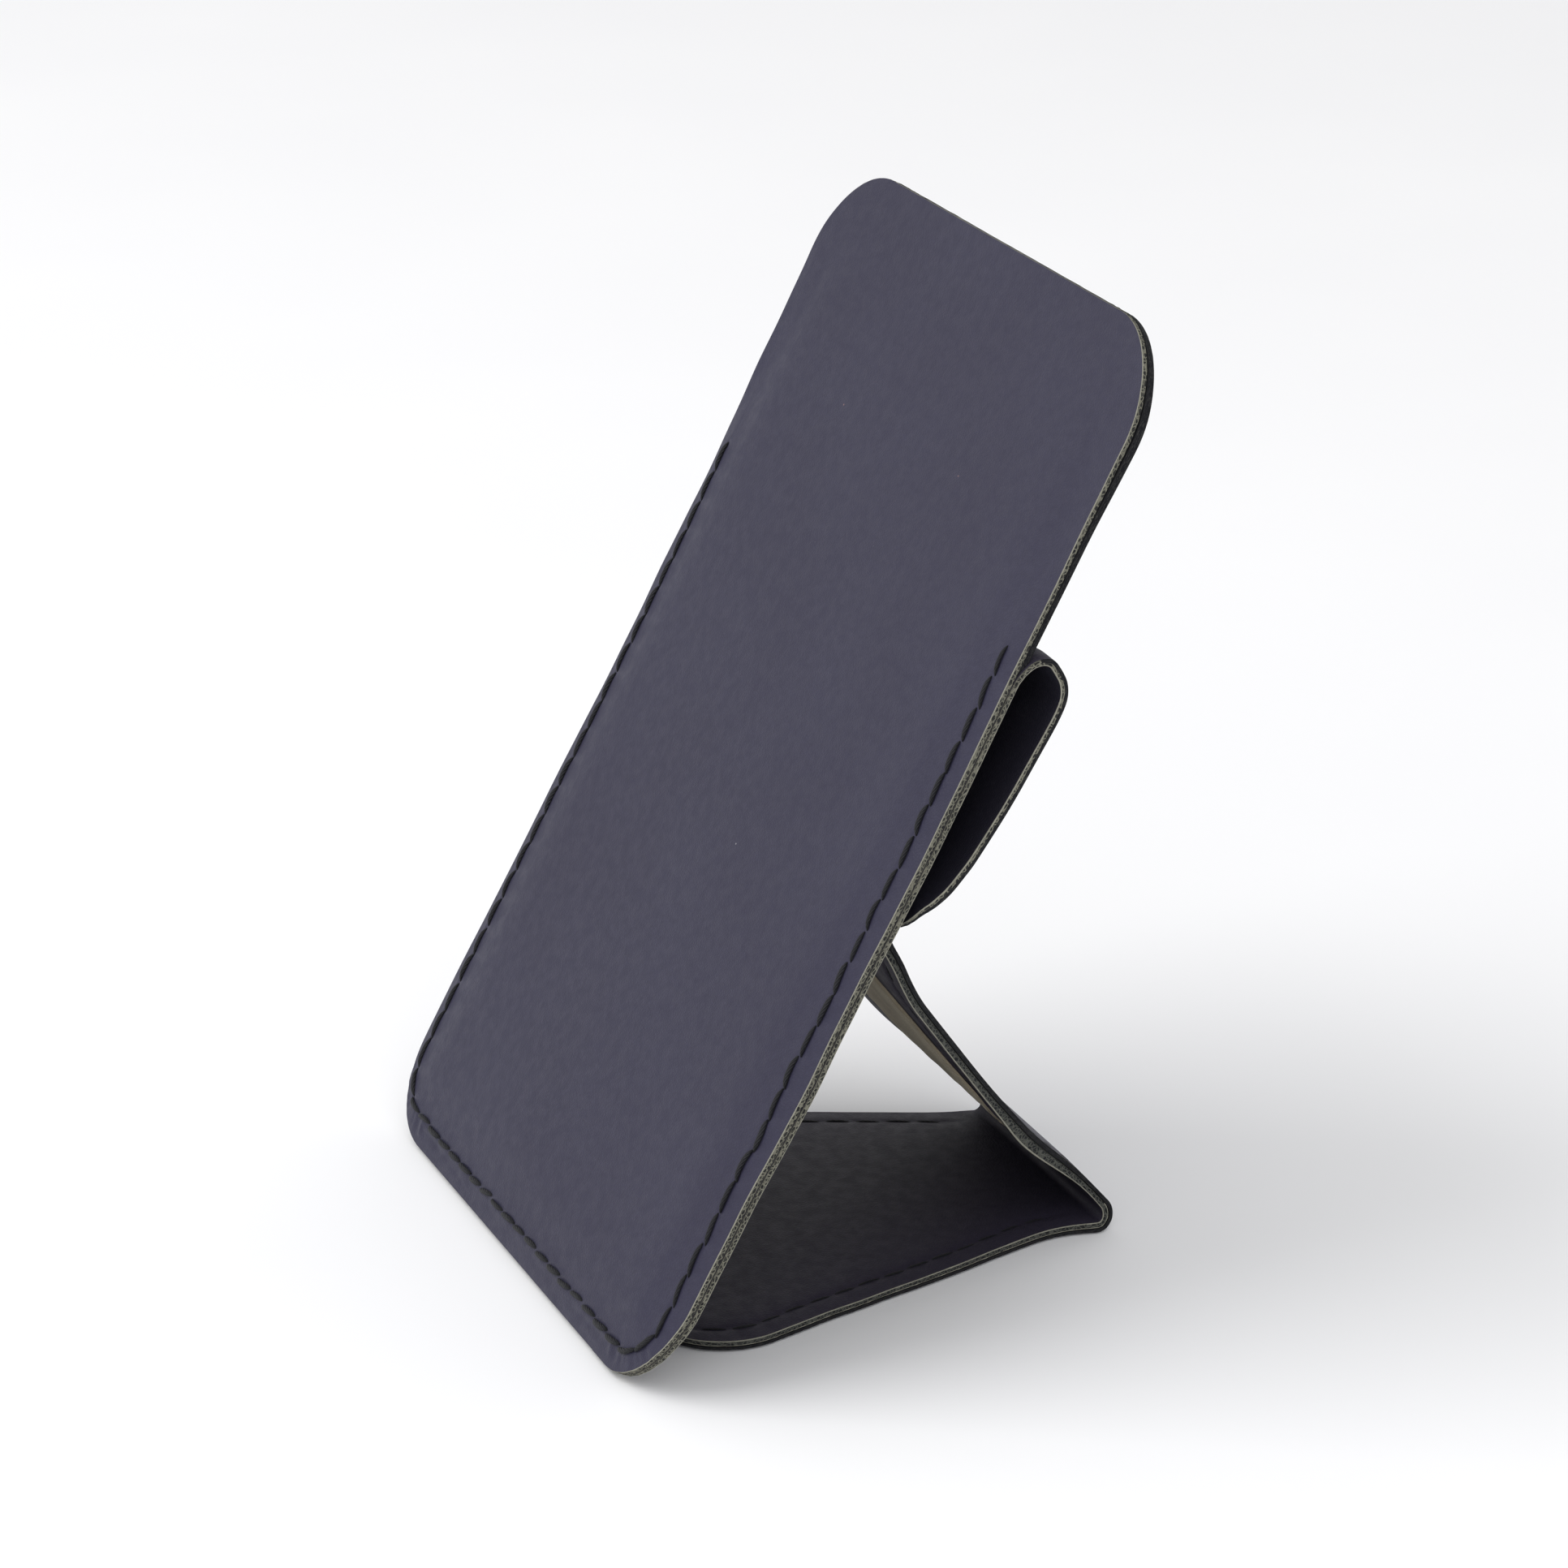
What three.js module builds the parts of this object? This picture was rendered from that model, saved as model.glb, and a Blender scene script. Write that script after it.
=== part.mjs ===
// A leather stand pouch for a pocket organiser: a tall front panel, a pocket panel sewn to it
// round three sides, a belt loop, and a waisted two-leaf leg that props it up.
// Millimetres, +Z up, X across the pouch, the front facing -Y. The origin is on the table, in
// the middle of the footprint.
import * as THREE from "three";

const { degToRad, smoothstep } = THREE.MathUtils;

// Front panel
const PANEL_WIDTH = 92;
const PANEL_LENGTH = 135.3;
const TOP_CORNER = 13.2;
const BOTTOM_CORNER = 12;
const LEAN = degToRad(61); // pouch to table
const UPPER_TILT = degToRad(2.8); // the free upper part stands a little steeper
const TILT_FROM = 64; // the stretch along the panel over which it straightens up
const TILT_TO = 112;
const FOOTPRINT_DEPTH = 71.6; // lowest front edge to the back of the leg's fold

// Leather and boards
const LEATHER = 0.7;
const GAP = 0.1; // between two glued sheets
const BOARD = 0.3;
const THREAD = 0.5; // diameter

// Seam round the pocket
const SEAM_SIDE_MARGIN = 2.8; // cut edge to seam
const SEAM_BOTTOM_MARGIN = 3.3;
const SEAM_CORNER = 6.5;
const SEAM_TOP = 96;
const BOBBIN_TOP = 58; // the seam shows on the back up to the leg's root
const EDGE_LEVEL = 1.1; // the margins' cut edges, in front of the pocket's flat back
const SEAM_LEVEL = 2.1; // the seam, from which the margins slope away
const BACK_REACH = 4; // the pocket's back sinks from the seam over this width
const CROWN = 0.8; // the front's middle stands this far in front of the seam
const CROWN_REACH = 7;
const SEAM_FADES = 6; // above the seam the front flattens over this length at its edges
const CROWN_FADES = { before: 10, beyond: 28 }; // and in the middle over this much more
const POCKET_DEPTH = 93.3;

// Linings and boards keep inside the seam; the front lining reaches the edges above the mouth.
const LINING_HALF_WIDTH = 39.5;
const LINING_BOTTOM = 6.5;
const LINING_WIDENS = 97.4;
const SKIVED = 0.2; // the lining where it starts to widen
const BOARD_SHARE = 0.76; // of the sheet's width
const RECESS_SHARE = 0.81;
const BOARD_MARGIN = 10; // at the panel's two ends
const BOARD_CORNER = 7;

// Belt loop: the middle of its leather, as [up the pouch, out of its front]
const LOOP_LINE = [
  [93.5, 0.35],
  [95.6, 0.3],
  [96.6, -0.6],
  [96.1, -2.2],
  [94.7, -3.5],
  [92, -4.25],
  [87, -4.2],
  [82, -3.95],
  [76.2, -3.5],
  [71.5, -2.95],
  [68.4, -2.25],
  [66.2, -1.2],
  [64.3, -0.5],
  [61.6, -0.45],
];
const FOOT_SEAM_AT = 62.7;
const FOOT_SEAM_WIDTH = 70;

// Leg: two leaves, each leather outside and lining inside with a thin board between them
const NECK_RADIUS = 2.4; // outside of the fold between the leaves
const LEAF_LINING = 0.8;
const LEAF = LEATHER + GAP + LEAF_LINING;
const LEAF_HALF_WIDTHS = { at: [0, 6, 20, 34, 52, 70], are: [17.3, 18.9, 24.8, 29.8, 36, 41] };
const ROOT_HALF_WIDTH = 37;
const BASE_LENGTH = 60.5;
const BASE_CORNER = 12.5;
const HINGE_UP_POUCH = 60;
const HINGE_BEHIND = 0.9; // hinge to the pocket panel's back
const ROOT_RADIUS = 0.8; // of the fold at the root, to the middle of its leather
const LEAF_BOARD_MARGIN = 6;
const LEAF_SEAM_MARGIN = 3.5;
const PAD_HALF_WIDTH = 22.5;
const PAD_THICKNESS = 0.4;
const PAD_FROM = 9.5; // from the neck
const PAD_ROOT_MARGIN = 5;

const COLOURS = {
  leather: { color: 0x3c3d4c, roughness: 0.55 },
  lining: { color: 0x232227, roughness: 0.7 },
  suede: { color: 0x9c8c6e, roughness: 0.95 },
  board: { color: 0x8d8370, roughness: 0.9 },
  thread: { color: 0x0e0e12, roughness: 0.6 },
};

const root = new THREE.Group();

function addMesh(parent, name, look, geometry) {
  const material = new THREE.MeshStandardMaterial({ ...COLOURS[look], metalness: 0 });
  const mesh = new THREE.Mesh(geometry, material);
  mesh.name = name;
  parent.add(mesh);
}

// A sheet is a thin box pulled to its shape. Lengthwise it follows path(s), which gives a point
// and the direction through the thickness, both in the YZ plane. rows are the distances s of
// its grid; columns are shares of halfWidth(s); low(u, s) and high(u, s) are its two faces,
// measured from the path.
function sheet({ path, rows, columns = [-1, 0, 1], halfWidth, low, high }) {
  const geometry = new THREE.BoxGeometry(1, 1, 1, columns.length - 1, rows.length - 1, 1);
  const position = geometry.attributes.position;
  for (let i = 0; i < position.count; i++) {
    const column = Math.round((position.getX(i) + 0.5) * (columns.length - 1));
    const row = Math.round((position.getY(i) + 0.5) * (rows.length - 1));
    const s = rows[row];
    const u = columns[column] * halfWidth(s);
    const level = position.getZ(i) > 0 ? high(u, s) : low(u, s);
    const { point, normal } = path(s);
    position.setXYZ(i, u, point.x + normal.x * level, point.y + normal.y * level);
  }
  return geometry;
}

// A thread along points, as one round bead.
function bead(points, steps) {
  const section = new THREE.Shape(
    Array.from({ length: 6 }, (_, i) => {
      const turn = (i * Math.PI) / 3;
      const radius = THREAD / 2;
      return new THREE.Vector2(radius * Math.cos(turn), radius * Math.sin(turn));
    }),
  );
  const extrudePath = new THREE.CatmullRomCurve3(points, false, "centripetal");
  return new THREE.ExtrudeGeometry(section, { steps, extrudePath, bevelEnabled: false });
}

const always = (value) => () => value;
const spread = (from, to, parts) =>
  Array.from({ length: parts + 1 }, (_, i) => from + ((to - from) * i) / parts);

// How much narrower a sheet is where a corner of this radius is still rounding off.
function cornerLoss(toEnd, radius) {
  if (toEnd >= radius) return 0;
  const rise = radius - Math.max(toEnd, 0);
  return radius - Math.sqrt(Math.max(radius * radius - rise * rise, 0));
}

// --- Pouch. Local Y runs up it and local Z out of its front face. -------------------------
const pouch = new THREE.Group();
const FRONT_LEVEL = EDGE_LEVEL + 2 * LEATHER + GAP; // the front face, at its cut edges
pouch.rotation.x = LEAN;
root.add(pouch);

// The pocket panel's back plane: straight up to TILT_FROM, then turning up by UPPER_TILT.
function pouchPath(s) {
  const turnLength = TILT_TO - TILT_FROM;
  const turned = THREE.MathUtils.clamp((s - TILT_FROM) / turnLength, 0, 1);
  const angle = UPPER_TILT * turned;
  const rise = (turnLength * UPPER_TILT * turned * turned) / 2;
  const beyond = Math.max(s - TILT_TO, 0);
  return {
    point: new THREE.Vector2(s, rise + beyond * Math.sin(UPPER_TILT)),
    normal: new THREE.Vector2(-Math.sin(angle), Math.cos(angle)),
  };
}

function onPouch(u, s, level) {
  const { point, normal } = pouchPath(s);
  return new THREE.Vector3(u, point.x + normal.x * level, point.y + normal.y * level);
}

function panelHalfWidth(s) {
  const atTop = cornerLoss(PANEL_LENGTH - s, TOP_CORNER);
  return PANEL_WIDTH / 2 - atTop - cornerLoss(s, BOTTOM_CORNER);
}

// Distance from the U-shaped seam line, positive towards the cut edge.
function pastSeam(u, s) {
  const x = Math.abs(u) - (PANEL_WIDTH / 2 - SEAM_SIDE_MARGIN - SEAM_CORNER);
  const y = SEAM_BOTTOM_MARGIN + SEAM_CORNER - s;
  return Math.hypot(Math.max(x, 0), Math.max(y, 0)) + Math.min(Math.max(x, y), 0) - SEAM_CORNER;
}

// Levels are measured from the pocket's flat back. In the margin the two sheets lie together.
function marginLevel(u, s) {
  const outwards = THREE.MathUtils.clamp(pastSeam(u, s) / SEAM_BOTTOM_MARGIN, 0, 1);
  return THREE.MathUtils.lerp(SEAM_LEVEL, EDGE_LEVEL, outwards);
}
function pocketBack(u, s) {
  const sinks = smoothstep(-pastSeam(u, s), 0, BACK_REACH);
  return marginLevel(u, s) * (1 - sinks);
}
function frontBack(u, s) {
  const inwards = smoothstep(-pastSeam(u, s), 0, CROWN_REACH);
  const level = marginLevel(u, s) + CROWN * inwards;
  const fadesFrom = SEAM_TOP - CROWN_FADES.before * inwards;
  const fadesTo = SEAM_TOP + SEAM_FADES + CROWN_FADES.beyond * inwards;
  const flattened = smoothstep(s, fadesFrom, fadesTo);
  return LEATHER + GAP + THREE.MathUtils.lerp(level, EDGE_LEVEL, flattened);
}

// It stands on the pocket panel's lower edge.
pouch.position.y = -FOOTPRINT_DEPTH / 2 + FRONT_LEVEL * Math.sin(LEAN);
pouch.position.z = -EDGE_LEVEL * Math.cos(LEAN);

const FROM_EDGE = [0, 1.4, SEAM_SIDE_MARGIN, 3.5, 4.4, 5.4, 6.2, 6.8, 8.2, 9.8, 24];
const PANEL_COLUMNS = [
  ...FROM_EDGE.map((d) => (2 * d) / PANEL_WIDTH - 1),
  0,
  ...FROM_EDGE.map((d) => 1 - (2 * d) / PANEL_WIDTH).reverse(),
];
const LOWER_ROWS = [
  ...[0, 0.4, 1, 2, SEAM_BOTTOM_MARGIN, 4, 5, 6, 7.3, 8.7, 10.3],
  ...[BOTTOM_CORNER, 30, 50, TILT_FROM, 74, 84],
];
const BOARD_TOP = PANEL_LENGTH - BOARD_MARGIN;
const UPPER_ROWS = [
  ...[LINING_WIDENS, 99, 101, 104, 108, TILT_TO, 117, 122],
  ...[BOARD_TOP + 0.5, BOARD_TOP + 1.5],
  ...[0.48, 0.36, 0.24, 0.12, 0.03, 0].map((share) => PANEL_LENGTH - TOP_CORNER * share),
];

addMesh(
  pouch,
  "front_panel",
  "leather",
  sheet({
    path: pouchPath,
    rows: [...LOWER_ROWS, 92, SEAM_TOP, ...UPPER_ROWS],
    columns: PANEL_COLUMNS,
    halfWidth: panelHalfWidth,
    low: frontBack,
    high: (u, s) => frontBack(u, s) + LEATHER,
  }),
);

addMesh(
  pouch,
  "pocket_panel",
  "leather",
  sheet({
    path: pouchPath,
    rows: [...LOWER_ROWS, POCKET_DEPTH],
    columns: PANEL_COLUMNS,
    halfWidth: panelHalfWidth,
    low: pocketBack,
    high: (u, s) => pocketBack(u, s) + LEATHER,
  }),
);

// The board lies in a shallow recess of the lining, behind the front leather.
const boardFront = (u, s) => frontBack(u, s) - GAP;
const boardBack = (u, s) => boardFront(u, s) - BOARD;
addMesh(
  pouch,
  "front_board",
  "board",
  sheet({
    path: pouchPath,
    rows: [
      ...[0, 0.3, 1].map((share) => BOARD_MARGIN + BOARD_CORNER * share),
      ...[30, 50, TILT_FROM, 74, 84, 92, SEAM_TOP, LINING_WIDENS, 99, 101, 104, 108, TILT_TO],
      ...[1, 0.3, 0].map((share) => BOARD_TOP - BOARD_CORNER * share),
    ],
    halfWidth(s) {
      const corner = cornerLoss(Math.min(s - BOARD_MARGIN, BOARD_TOP - s), BOARD_CORNER);
      return (BOARD_SHARE * PANEL_WIDTH) / 2 - corner;
    },
    low: boardBack,
    high: boardFront,
  }),
);

// Where it runs down inside the pocket the lining is skived thinner.
const liningBack = (u, s) => boardBack(u, s) - GAP - BOARD;
function liningFront(u, s) {
  const overBoard = Math.abs(u) < RECESS_SHARE * panelHalfWidth(s) && s < BOARD_TOP + 1;
  if (overBoard || s < LINING_WIDENS - 1) return boardBack(u, s) - GAP;
  if (s < LINING_WIDENS) return liningBack(u, s) + 0.1;
  return liningBack(u, s) + (s < LINING_WIDENS + 1 ? SKIVED : LEATHER);
}
addMesh(
  pouch,
  "front_lining",
  "lining",
  sheet({
    path: pouchPath,
    rows: [
      ...[LINING_BOTTOM, 9, BOTTOM_CORNER, 30, 50, TILT_FROM, 74, 84, 92, SEAM_TOP],
      ...[LINING_WIDENS - 0.5, ...UPPER_ROWS],
    ],
    columns: PANEL_COLUMNS,
    halfWidth: (s) => (s < LINING_WIDENS ? LINING_HALF_WIDTH : panelHalfWidth(s)),
    low: liningBack,
    high: liningFront,
  }),
);

// Belt loop: it folds back over the pocket's mouth, runs down and ends in a foot on the pocket.
const loopLine = new THREE.SplineCurve(
  LOOP_LINE.map(([s, level]) => {
    const { y, z } = onPouch(0, s, level);
    return new THREE.Vector2(y, z);
  }),
);
function loopPath(s) {
  const tangent = loopLine.getTangentAt(s);
  return { point: loopLine.getPointAt(s), normal: new THREE.Vector2(-tangent.y, tangent.x) };
}
addMesh(
  pouch,
  "belt_loop",
  "leather",
  sheet({
    path: loopPath,
    rows: [...spread(0, 0.3, 16), ...spread(0.33, 0.8, 12), ...spread(0.82, 1, 10)],
    halfWidth: always(PANEL_WIDTH / 2),
    low: always(-LEATHER / 2),
    high: always(LEATHER / 2),
  }),
);

// Seam threads
function seamPoints(top, level) {
  const side = PANEL_WIDTH / 2 - SEAM_SIDE_MARGIN;
  const centre = side - SEAM_CORNER;
  const bend = SEAM_BOTTOM_MARGIN + SEAM_CORNER;
  const half = [
    ...spread(top, bend + 2, 12).map((s) => [side, s]),
    ...spread(0, 1, 6).map((share) => {
      const turn = (share * Math.PI) / 2;
      return [centre + SEAM_CORNER * Math.cos(turn), bend - SEAM_CORNER * Math.sin(turn)];
    }),
    ...spread(centre - 3, 8, 4).map((u) => [u, SEAM_BOTTOM_MARGIN]),
  ];
  const mirrored = half.map(([u, s]) => [-u, s]).reverse();
  return [...half, ...mirrored].map(([u, s]) => onPouch(u, s, level));
}
const ON_SURFACE = GAP + THREAD / 2;
const NEEDLE_LEVEL = SEAM_LEVEL + 2 * LEATHER + GAP + ON_SURFACE + 0.05;
const BOBBIN_LEVEL = SEAM_LEVEL - ON_SURFACE - 0.35;
addMesh(pouch, "needle_thread", "thread", bead(seamPoints(SEAM_TOP, NEEDLE_LEVEL), 96));
addMesh(pouch, "bobbin_thread", "thread", bead(seamPoints(BOBBIN_TOP, BOBBIN_LEVEL), 80));

const footBack = -GAP - LEATHER;
const footSeam = spread(-FOOT_SEAM_WIDTH / 2, FOOT_SEAM_WIDTH / 2, 4).map((u) =>
  onPouch(u, FOOT_SEAM_AT, footBack - ON_SURFACE),
);
addMesh(pouch, "foot_thread", "thread", bead(footSeam, 4));

// --- Leg. Each leaf has its own group at the neck's axis: local Y runs away from the neck and
// local Z towards the other leaf. -----------------------------------------------------------
const neckY = FOOTPRINT_DEPTH / 2 - NECK_RADIUS;
const neckZ = NECK_RADIUS;
const hingeLocal = new THREE.Vector3(0, HINGE_UP_POUCH, -HINGE_BEHIND);
pouch.updateMatrix();
const hinge = hingeLocal.applyMatrix4(pouch.matrix);
const hingeReach = Math.hypot(hinge.y - neckY, hinge.z - neckZ);
const middle = NECK_RADIUS - LEAF / 2;
const braceAngle =
  Math.atan2(hinge.z - neckZ, hinge.y - neckY) + Math.asin(middle / hingeReach);
const BRACE_LENGTH = Math.sqrt(hingeReach ** 2 - middle ** 2) - 0.15;

const base = new THREE.Group();
base.rotation.z = Math.PI;
const brace = new THREE.Group();
brace.rotation.x = braceAngle;
for (const leaf of [base, brace]) {
  leaf.position.set(0, neckY, neckZ);
  root.add(leaf);
}

const leafWidth = new THREE.CubicInterpolant(LEAF_HALF_WIDTHS.at, LEAF_HALF_WIDTHS.are, 1, [0]);
const outline = (s) => leafWidth.evaluate(s)[0];
const baseHalfWidth = (s) => outline(s) - cornerLoss(BASE_LENGTH - s, BASE_CORNER);
const braceHalfWidth = (s) => Math.min(outline(s), ROOT_HALF_WIDTH);
const flatPath = (s) => ({ point: new THREE.Vector2(s, 0), normal: new THREE.Vector2(0, 1) });

const OUTSIDE = -NECK_RADIUS;
const LEATHER_INSIDE = OUTSIDE + LEATHER;
const LINING_OUTSIDE = LEATHER_INSIDE + GAP;
const INSIDE = OUTSIDE + LEAF;
const RECESS = LINING_OUTSIDE + BOARD + GAP;
const NECK_GAP = 0.1;

function addLeaf(parent, prefix, length, halfWidth, endRows) {
  const rows = [...spread(NECK_GAP, 30, 12), 35, 40, 45, ...endRows];
  addMesh(
    parent,
    `${prefix}_leather`,
    "leather",
    sheet({
      path: flatPath,
      rows,
      halfWidth,
      low: always(OUTSIDE),
      high: always(LEATHER_INSIDE),
    }),
  );

  const from = LEAF_BOARD_MARGIN;
  const to = length - LEAF_BOARD_MARGIN;
  const recessed = (s) => s > from - 0.6 && s < to + 0.6;
  addMesh(
    parent,
    `${prefix}_lining`,
    "lining",
    sheet({
      path: flatPath,
      rows: [
        ...[NECK_GAP, 2, 4, from - 1, from - 0.5],
        ...spread(from + 2, to - 2, 14),
        ...[to + 0.5, to + 1],
        ...endRows.filter((s) => s > to + 1),
      ],
      columns: [-1, -0.84, -0.8, 0, 0.8, 0.84, 1],
      halfWidth,
      low: (u, s) =>
        recessed(s) && Math.abs(u) < RECESS_SHARE * halfWidth(s)
          ? RECESS
          : LINING_OUTSIDE,
      high: always(INSIDE),
    }),
  );
  addMesh(
    parent,
    `${prefix}_board`,
    "board",
    sheet({
      path: flatPath,
      rows: [...spread(from, to - 1, 16), to],
      halfWidth: (s) => BOARD_SHARE * halfWidth(s),
      low: always(LINING_OUTSIDE),
      high: always(LINING_OUTSIDE + BOARD),
    }),
  );
}

const cornerRows = [1, 0.72, 0.48, 0.28, 0.12, 0.03, 0];
addLeaf(
  base,
  "base",
  BASE_LENGTH,
  baseHalfWidth,
  cornerRows.map((share) => BASE_LENGTH - BASE_CORNER * share),
);
addLeaf(brace, "brace", BRACE_LENGTH, braceHalfWidth, [50, 54, 57.5, BRACE_LENGTH]);

const PAD_BACK = INSIDE + GAP;
addMesh(
  brace,
  "brace_pad",
  "suede",
  sheet({
    path: flatPath,
    rows: [...spread(PAD_FROM, 20, 5), BRACE_LENGTH - PAD_ROOT_MARGIN],
    halfWidth: (s) => Math.min(PAD_HALF_WIDTH, braceHalfWidth(s) - 2),
    low: always(PAD_BACK),
    high: always(PAD_BACK + PAD_THICKNESS),
  }),
);

// The leaves' seams, on top of the base and on the outside of the brace.
function leafSeam(halfWidth, to, level) {
  const half = spread(4, to, 14).map((s) => [halfWidth(s) - LEAF_SEAM_MARGIN, s]);
  const corner = half[half.length - 1][0];
  const end = spread(corner - 3, -corner + 3, 6).map((u) => [u, to + 1]);
  const mirrored = half.map(([u, s]) => [-u, s]).reverse();
  return [...half, ...end, ...mirrored].map(([u, s]) => new THREE.Vector3(u, s, level));
}
const baseSeamWidth = (s) => baseHalfWidth(s + 1) - (s > 48 ? ((s - 48) / 8) ** 3 * 4 : 0);
addMesh(
  base,
  "base_thread",
  "thread",
  bead(leafSeam(baseSeamWidth, BASE_LENGTH - LEAF_SEAM_MARGIN - 1, INSIDE + ON_SURFACE), 90),
);
addMesh(
  brace,
  "brace_thread",
  "thread",
  bead(leafSeam(braceHalfWidth, BRACE_LENGTH - LEAF_SEAM_MARGIN - 1, OUTSIDE - ON_SURFACE), 90),
);

// --- Living folds -------------------------------------------------------------------------
// Round the neck's axis, from under the base up to the brace.
function neckPath(s) {
  const turn = -Math.PI / 2 + s;
  return {
    point: new THREE.Vector2(neckY, neckZ),
    normal: new THREE.Vector2(-Math.cos(turn), -Math.sin(turn)),
  };
}
const neckTurn = braceAngle;
const neckClear = NECK_GAP / middle;
for (const [name, look, from, to] of [
  ["neck_leather", "leather", NECK_RADIUS, NECK_RADIUS - LEATHER],
  ["neck_lining", "lining", NECK_RADIUS - LEATHER - GAP, NECK_RADIUS - LEAF],
]) {
  addMesh(
    root,
    name,
    look,
    sheet({
      path: neckPath,
      rows: spread(neckClear, neckTurn - neckClear, 14),
      halfWidth: always(LEAF_HALF_WIDTHS.are[0]),
      low: always(-from),
      high: always(-to),
    }),
  );
}

// At the root, from flat on the pocket panel round to the outside of the brace.
const rootTurn = braceAngle - LEAN;
const rootDepth = GAP + LEATHER / 2 + ROOT_RADIUS;
const outerLine = new THREE.Vector2(0, LEAF / 2 - LEATHER / 2);
outerLine.rotateAround(new THREE.Vector2(), braceAngle - LEAN + Math.PI);
const startLevel = -HINGE_BEHIND + outerLine.y;
const endLevel = -rootDepth + ROOT_RADIUS * Math.cos(rootTurn);
const along = (startLevel - endLevel) / Math.sin(rootTurn);
const endUp = HINGE_UP_POUCH + outerLine.x - along * Math.cos(rootTurn);
const rootCentre = new THREE.Vector2(endUp + ROOT_RADIUS * Math.sin(rootTurn), -rootDepth);
function rootPath(turn) {
  const normal = new THREE.Vector2(Math.sin(turn), -Math.cos(turn));
  return { point: rootCentre, normal };
}
addMesh(
  pouch,
  "root_fold",
  "leather",
  sheet({
    path: rootPath,
    rows: spread(0, rootTurn, 8),
    halfWidth: always(ROOT_HALF_WIDTH),
    low: always(-ROOT_RADIUS - LEATHER / 2),
    high: always(-ROOT_RADIUS + LEATHER / 2),
  }),
);

export default root;
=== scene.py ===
# A sewn leather stand pouch for a pocket organiser, standing on its two-leaf leg.
# Shapes are worked out in millimetres in the row frame and handed to Blender in metres.
#
# Each sheet of leather has flat coordinates: u across it, s along it, and a level through it. A
# Track, or the pouch's own line, says where s and level lie in the side view.
import math

import bpy
import numpy as np
from mathutils import Matrix, Vector


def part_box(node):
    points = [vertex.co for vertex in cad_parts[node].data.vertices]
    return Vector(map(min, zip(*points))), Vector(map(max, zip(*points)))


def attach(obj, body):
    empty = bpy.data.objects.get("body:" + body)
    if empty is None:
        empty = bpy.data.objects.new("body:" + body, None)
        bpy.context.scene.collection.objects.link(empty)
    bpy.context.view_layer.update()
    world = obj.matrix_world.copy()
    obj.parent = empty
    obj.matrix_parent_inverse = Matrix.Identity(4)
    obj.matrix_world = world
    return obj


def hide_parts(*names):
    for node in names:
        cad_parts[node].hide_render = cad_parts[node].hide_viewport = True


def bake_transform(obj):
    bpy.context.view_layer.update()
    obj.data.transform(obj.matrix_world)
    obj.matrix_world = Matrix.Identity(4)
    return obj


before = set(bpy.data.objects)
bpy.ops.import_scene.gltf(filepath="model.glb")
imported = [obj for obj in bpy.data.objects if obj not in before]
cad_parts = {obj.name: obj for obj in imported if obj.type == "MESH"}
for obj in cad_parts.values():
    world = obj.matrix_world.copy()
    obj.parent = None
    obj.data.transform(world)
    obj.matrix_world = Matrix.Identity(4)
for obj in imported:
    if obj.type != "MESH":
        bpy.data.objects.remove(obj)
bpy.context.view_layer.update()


def span(node):
    """Lowest and highest corner of a CAD node, in millimetres."""
    low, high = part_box(node)
    return np.array(low) * 1000, np.array(high) * 1000


# ---------------------------------------------------------------- dimensions (mm)
# The pouch
panel_low, panel_high = span("front_panel")
HALF = panel_high[0]
LENGTH = 135.3
TOP_CORNER = 13.2
BOTTOM_CORNER = 12.0
LEAN = math.radians(61)
UPPER_TILT = math.radians(2.8)  # how much more the upper part leans forward
TILT_FROM, TILT_TO = 64.0, 112.0
LEATHER = 0.7
GAP = 0.1
EDGE_LEVEL, SEAM_LEVEL = 1.1, 2.1  # where the two sheets meet, above the pocket's back plane
CROWN = 0.8  # how much the front rises inside the seam
SEAM_SIDE, SEAM_BOTTOM, SEAM_CORNER, SEAM_TOP = 2.8, 3.3, 6.5, 96.6
PITCH = 4.0
MOUTH = 92.0  # the pocket's mouth, where its leather turns over into the belt loop
LINING_FROM = 93.6  # above this the lining reaches the cut edge
EDGE_DARKENS = 96.0  # beyond this the cut edges of front and loop have a dark side
LOOP_CORNER = 5.5  # of the belt loop's foot
FOOT_HALF, FOOT_UP, FOOT_LEVEL, FOOT_STITCHES = 38, 62.7, -0.8, 19  # the row of stitches there
HINGE_UP, HINGE_LEVEL = 60.0, -0.9  # the fold where the leg leaves the pocket's back

# The leg: base, neck and brace
neck_high = span("neck_leather")[1]
NECK_R = 2.4  # outside the fold
LEAF = 1.6  # thickness of a leaf
BASE_LENGTH = 60.5
BASE_CORNER = 12.5
BRACE_HALF = 37.0  # half the brace's greatest width
LEAF_SEAM = 3.5  # from the cut edge
LEAF_STITCHES = 44
BOW = 1.65
PAD_HALF = 22.5
ROOT_R = 0.8

FRONT = 2 * LEATHER + GAP + EDGE_LEVEL
COS, SIN = math.cos(LEAN), math.sin(LEAN)
POUCH_Y = panel_low[1] + FRONT * SIN
POUCH_Z = -EDGE_LEVEL * COS
NECK_Y, NECK_Z = neck_high[1] - NECK_R, NECK_R


# ---------------------------------------------------------------- small maths
def smooth(x, a, b):
    """From 0 at a to 1 at b, where b may be the smaller."""
    t = np.clip((np.asarray(x, float) - a) / (b - a), 0, 1)
    return t * t * (3 - 2 * t)


def bump(x, centre, width):
    """A bell of height 1."""
    return np.exp(-(((np.asarray(x, float) - centre) / width) ** 2))


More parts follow.
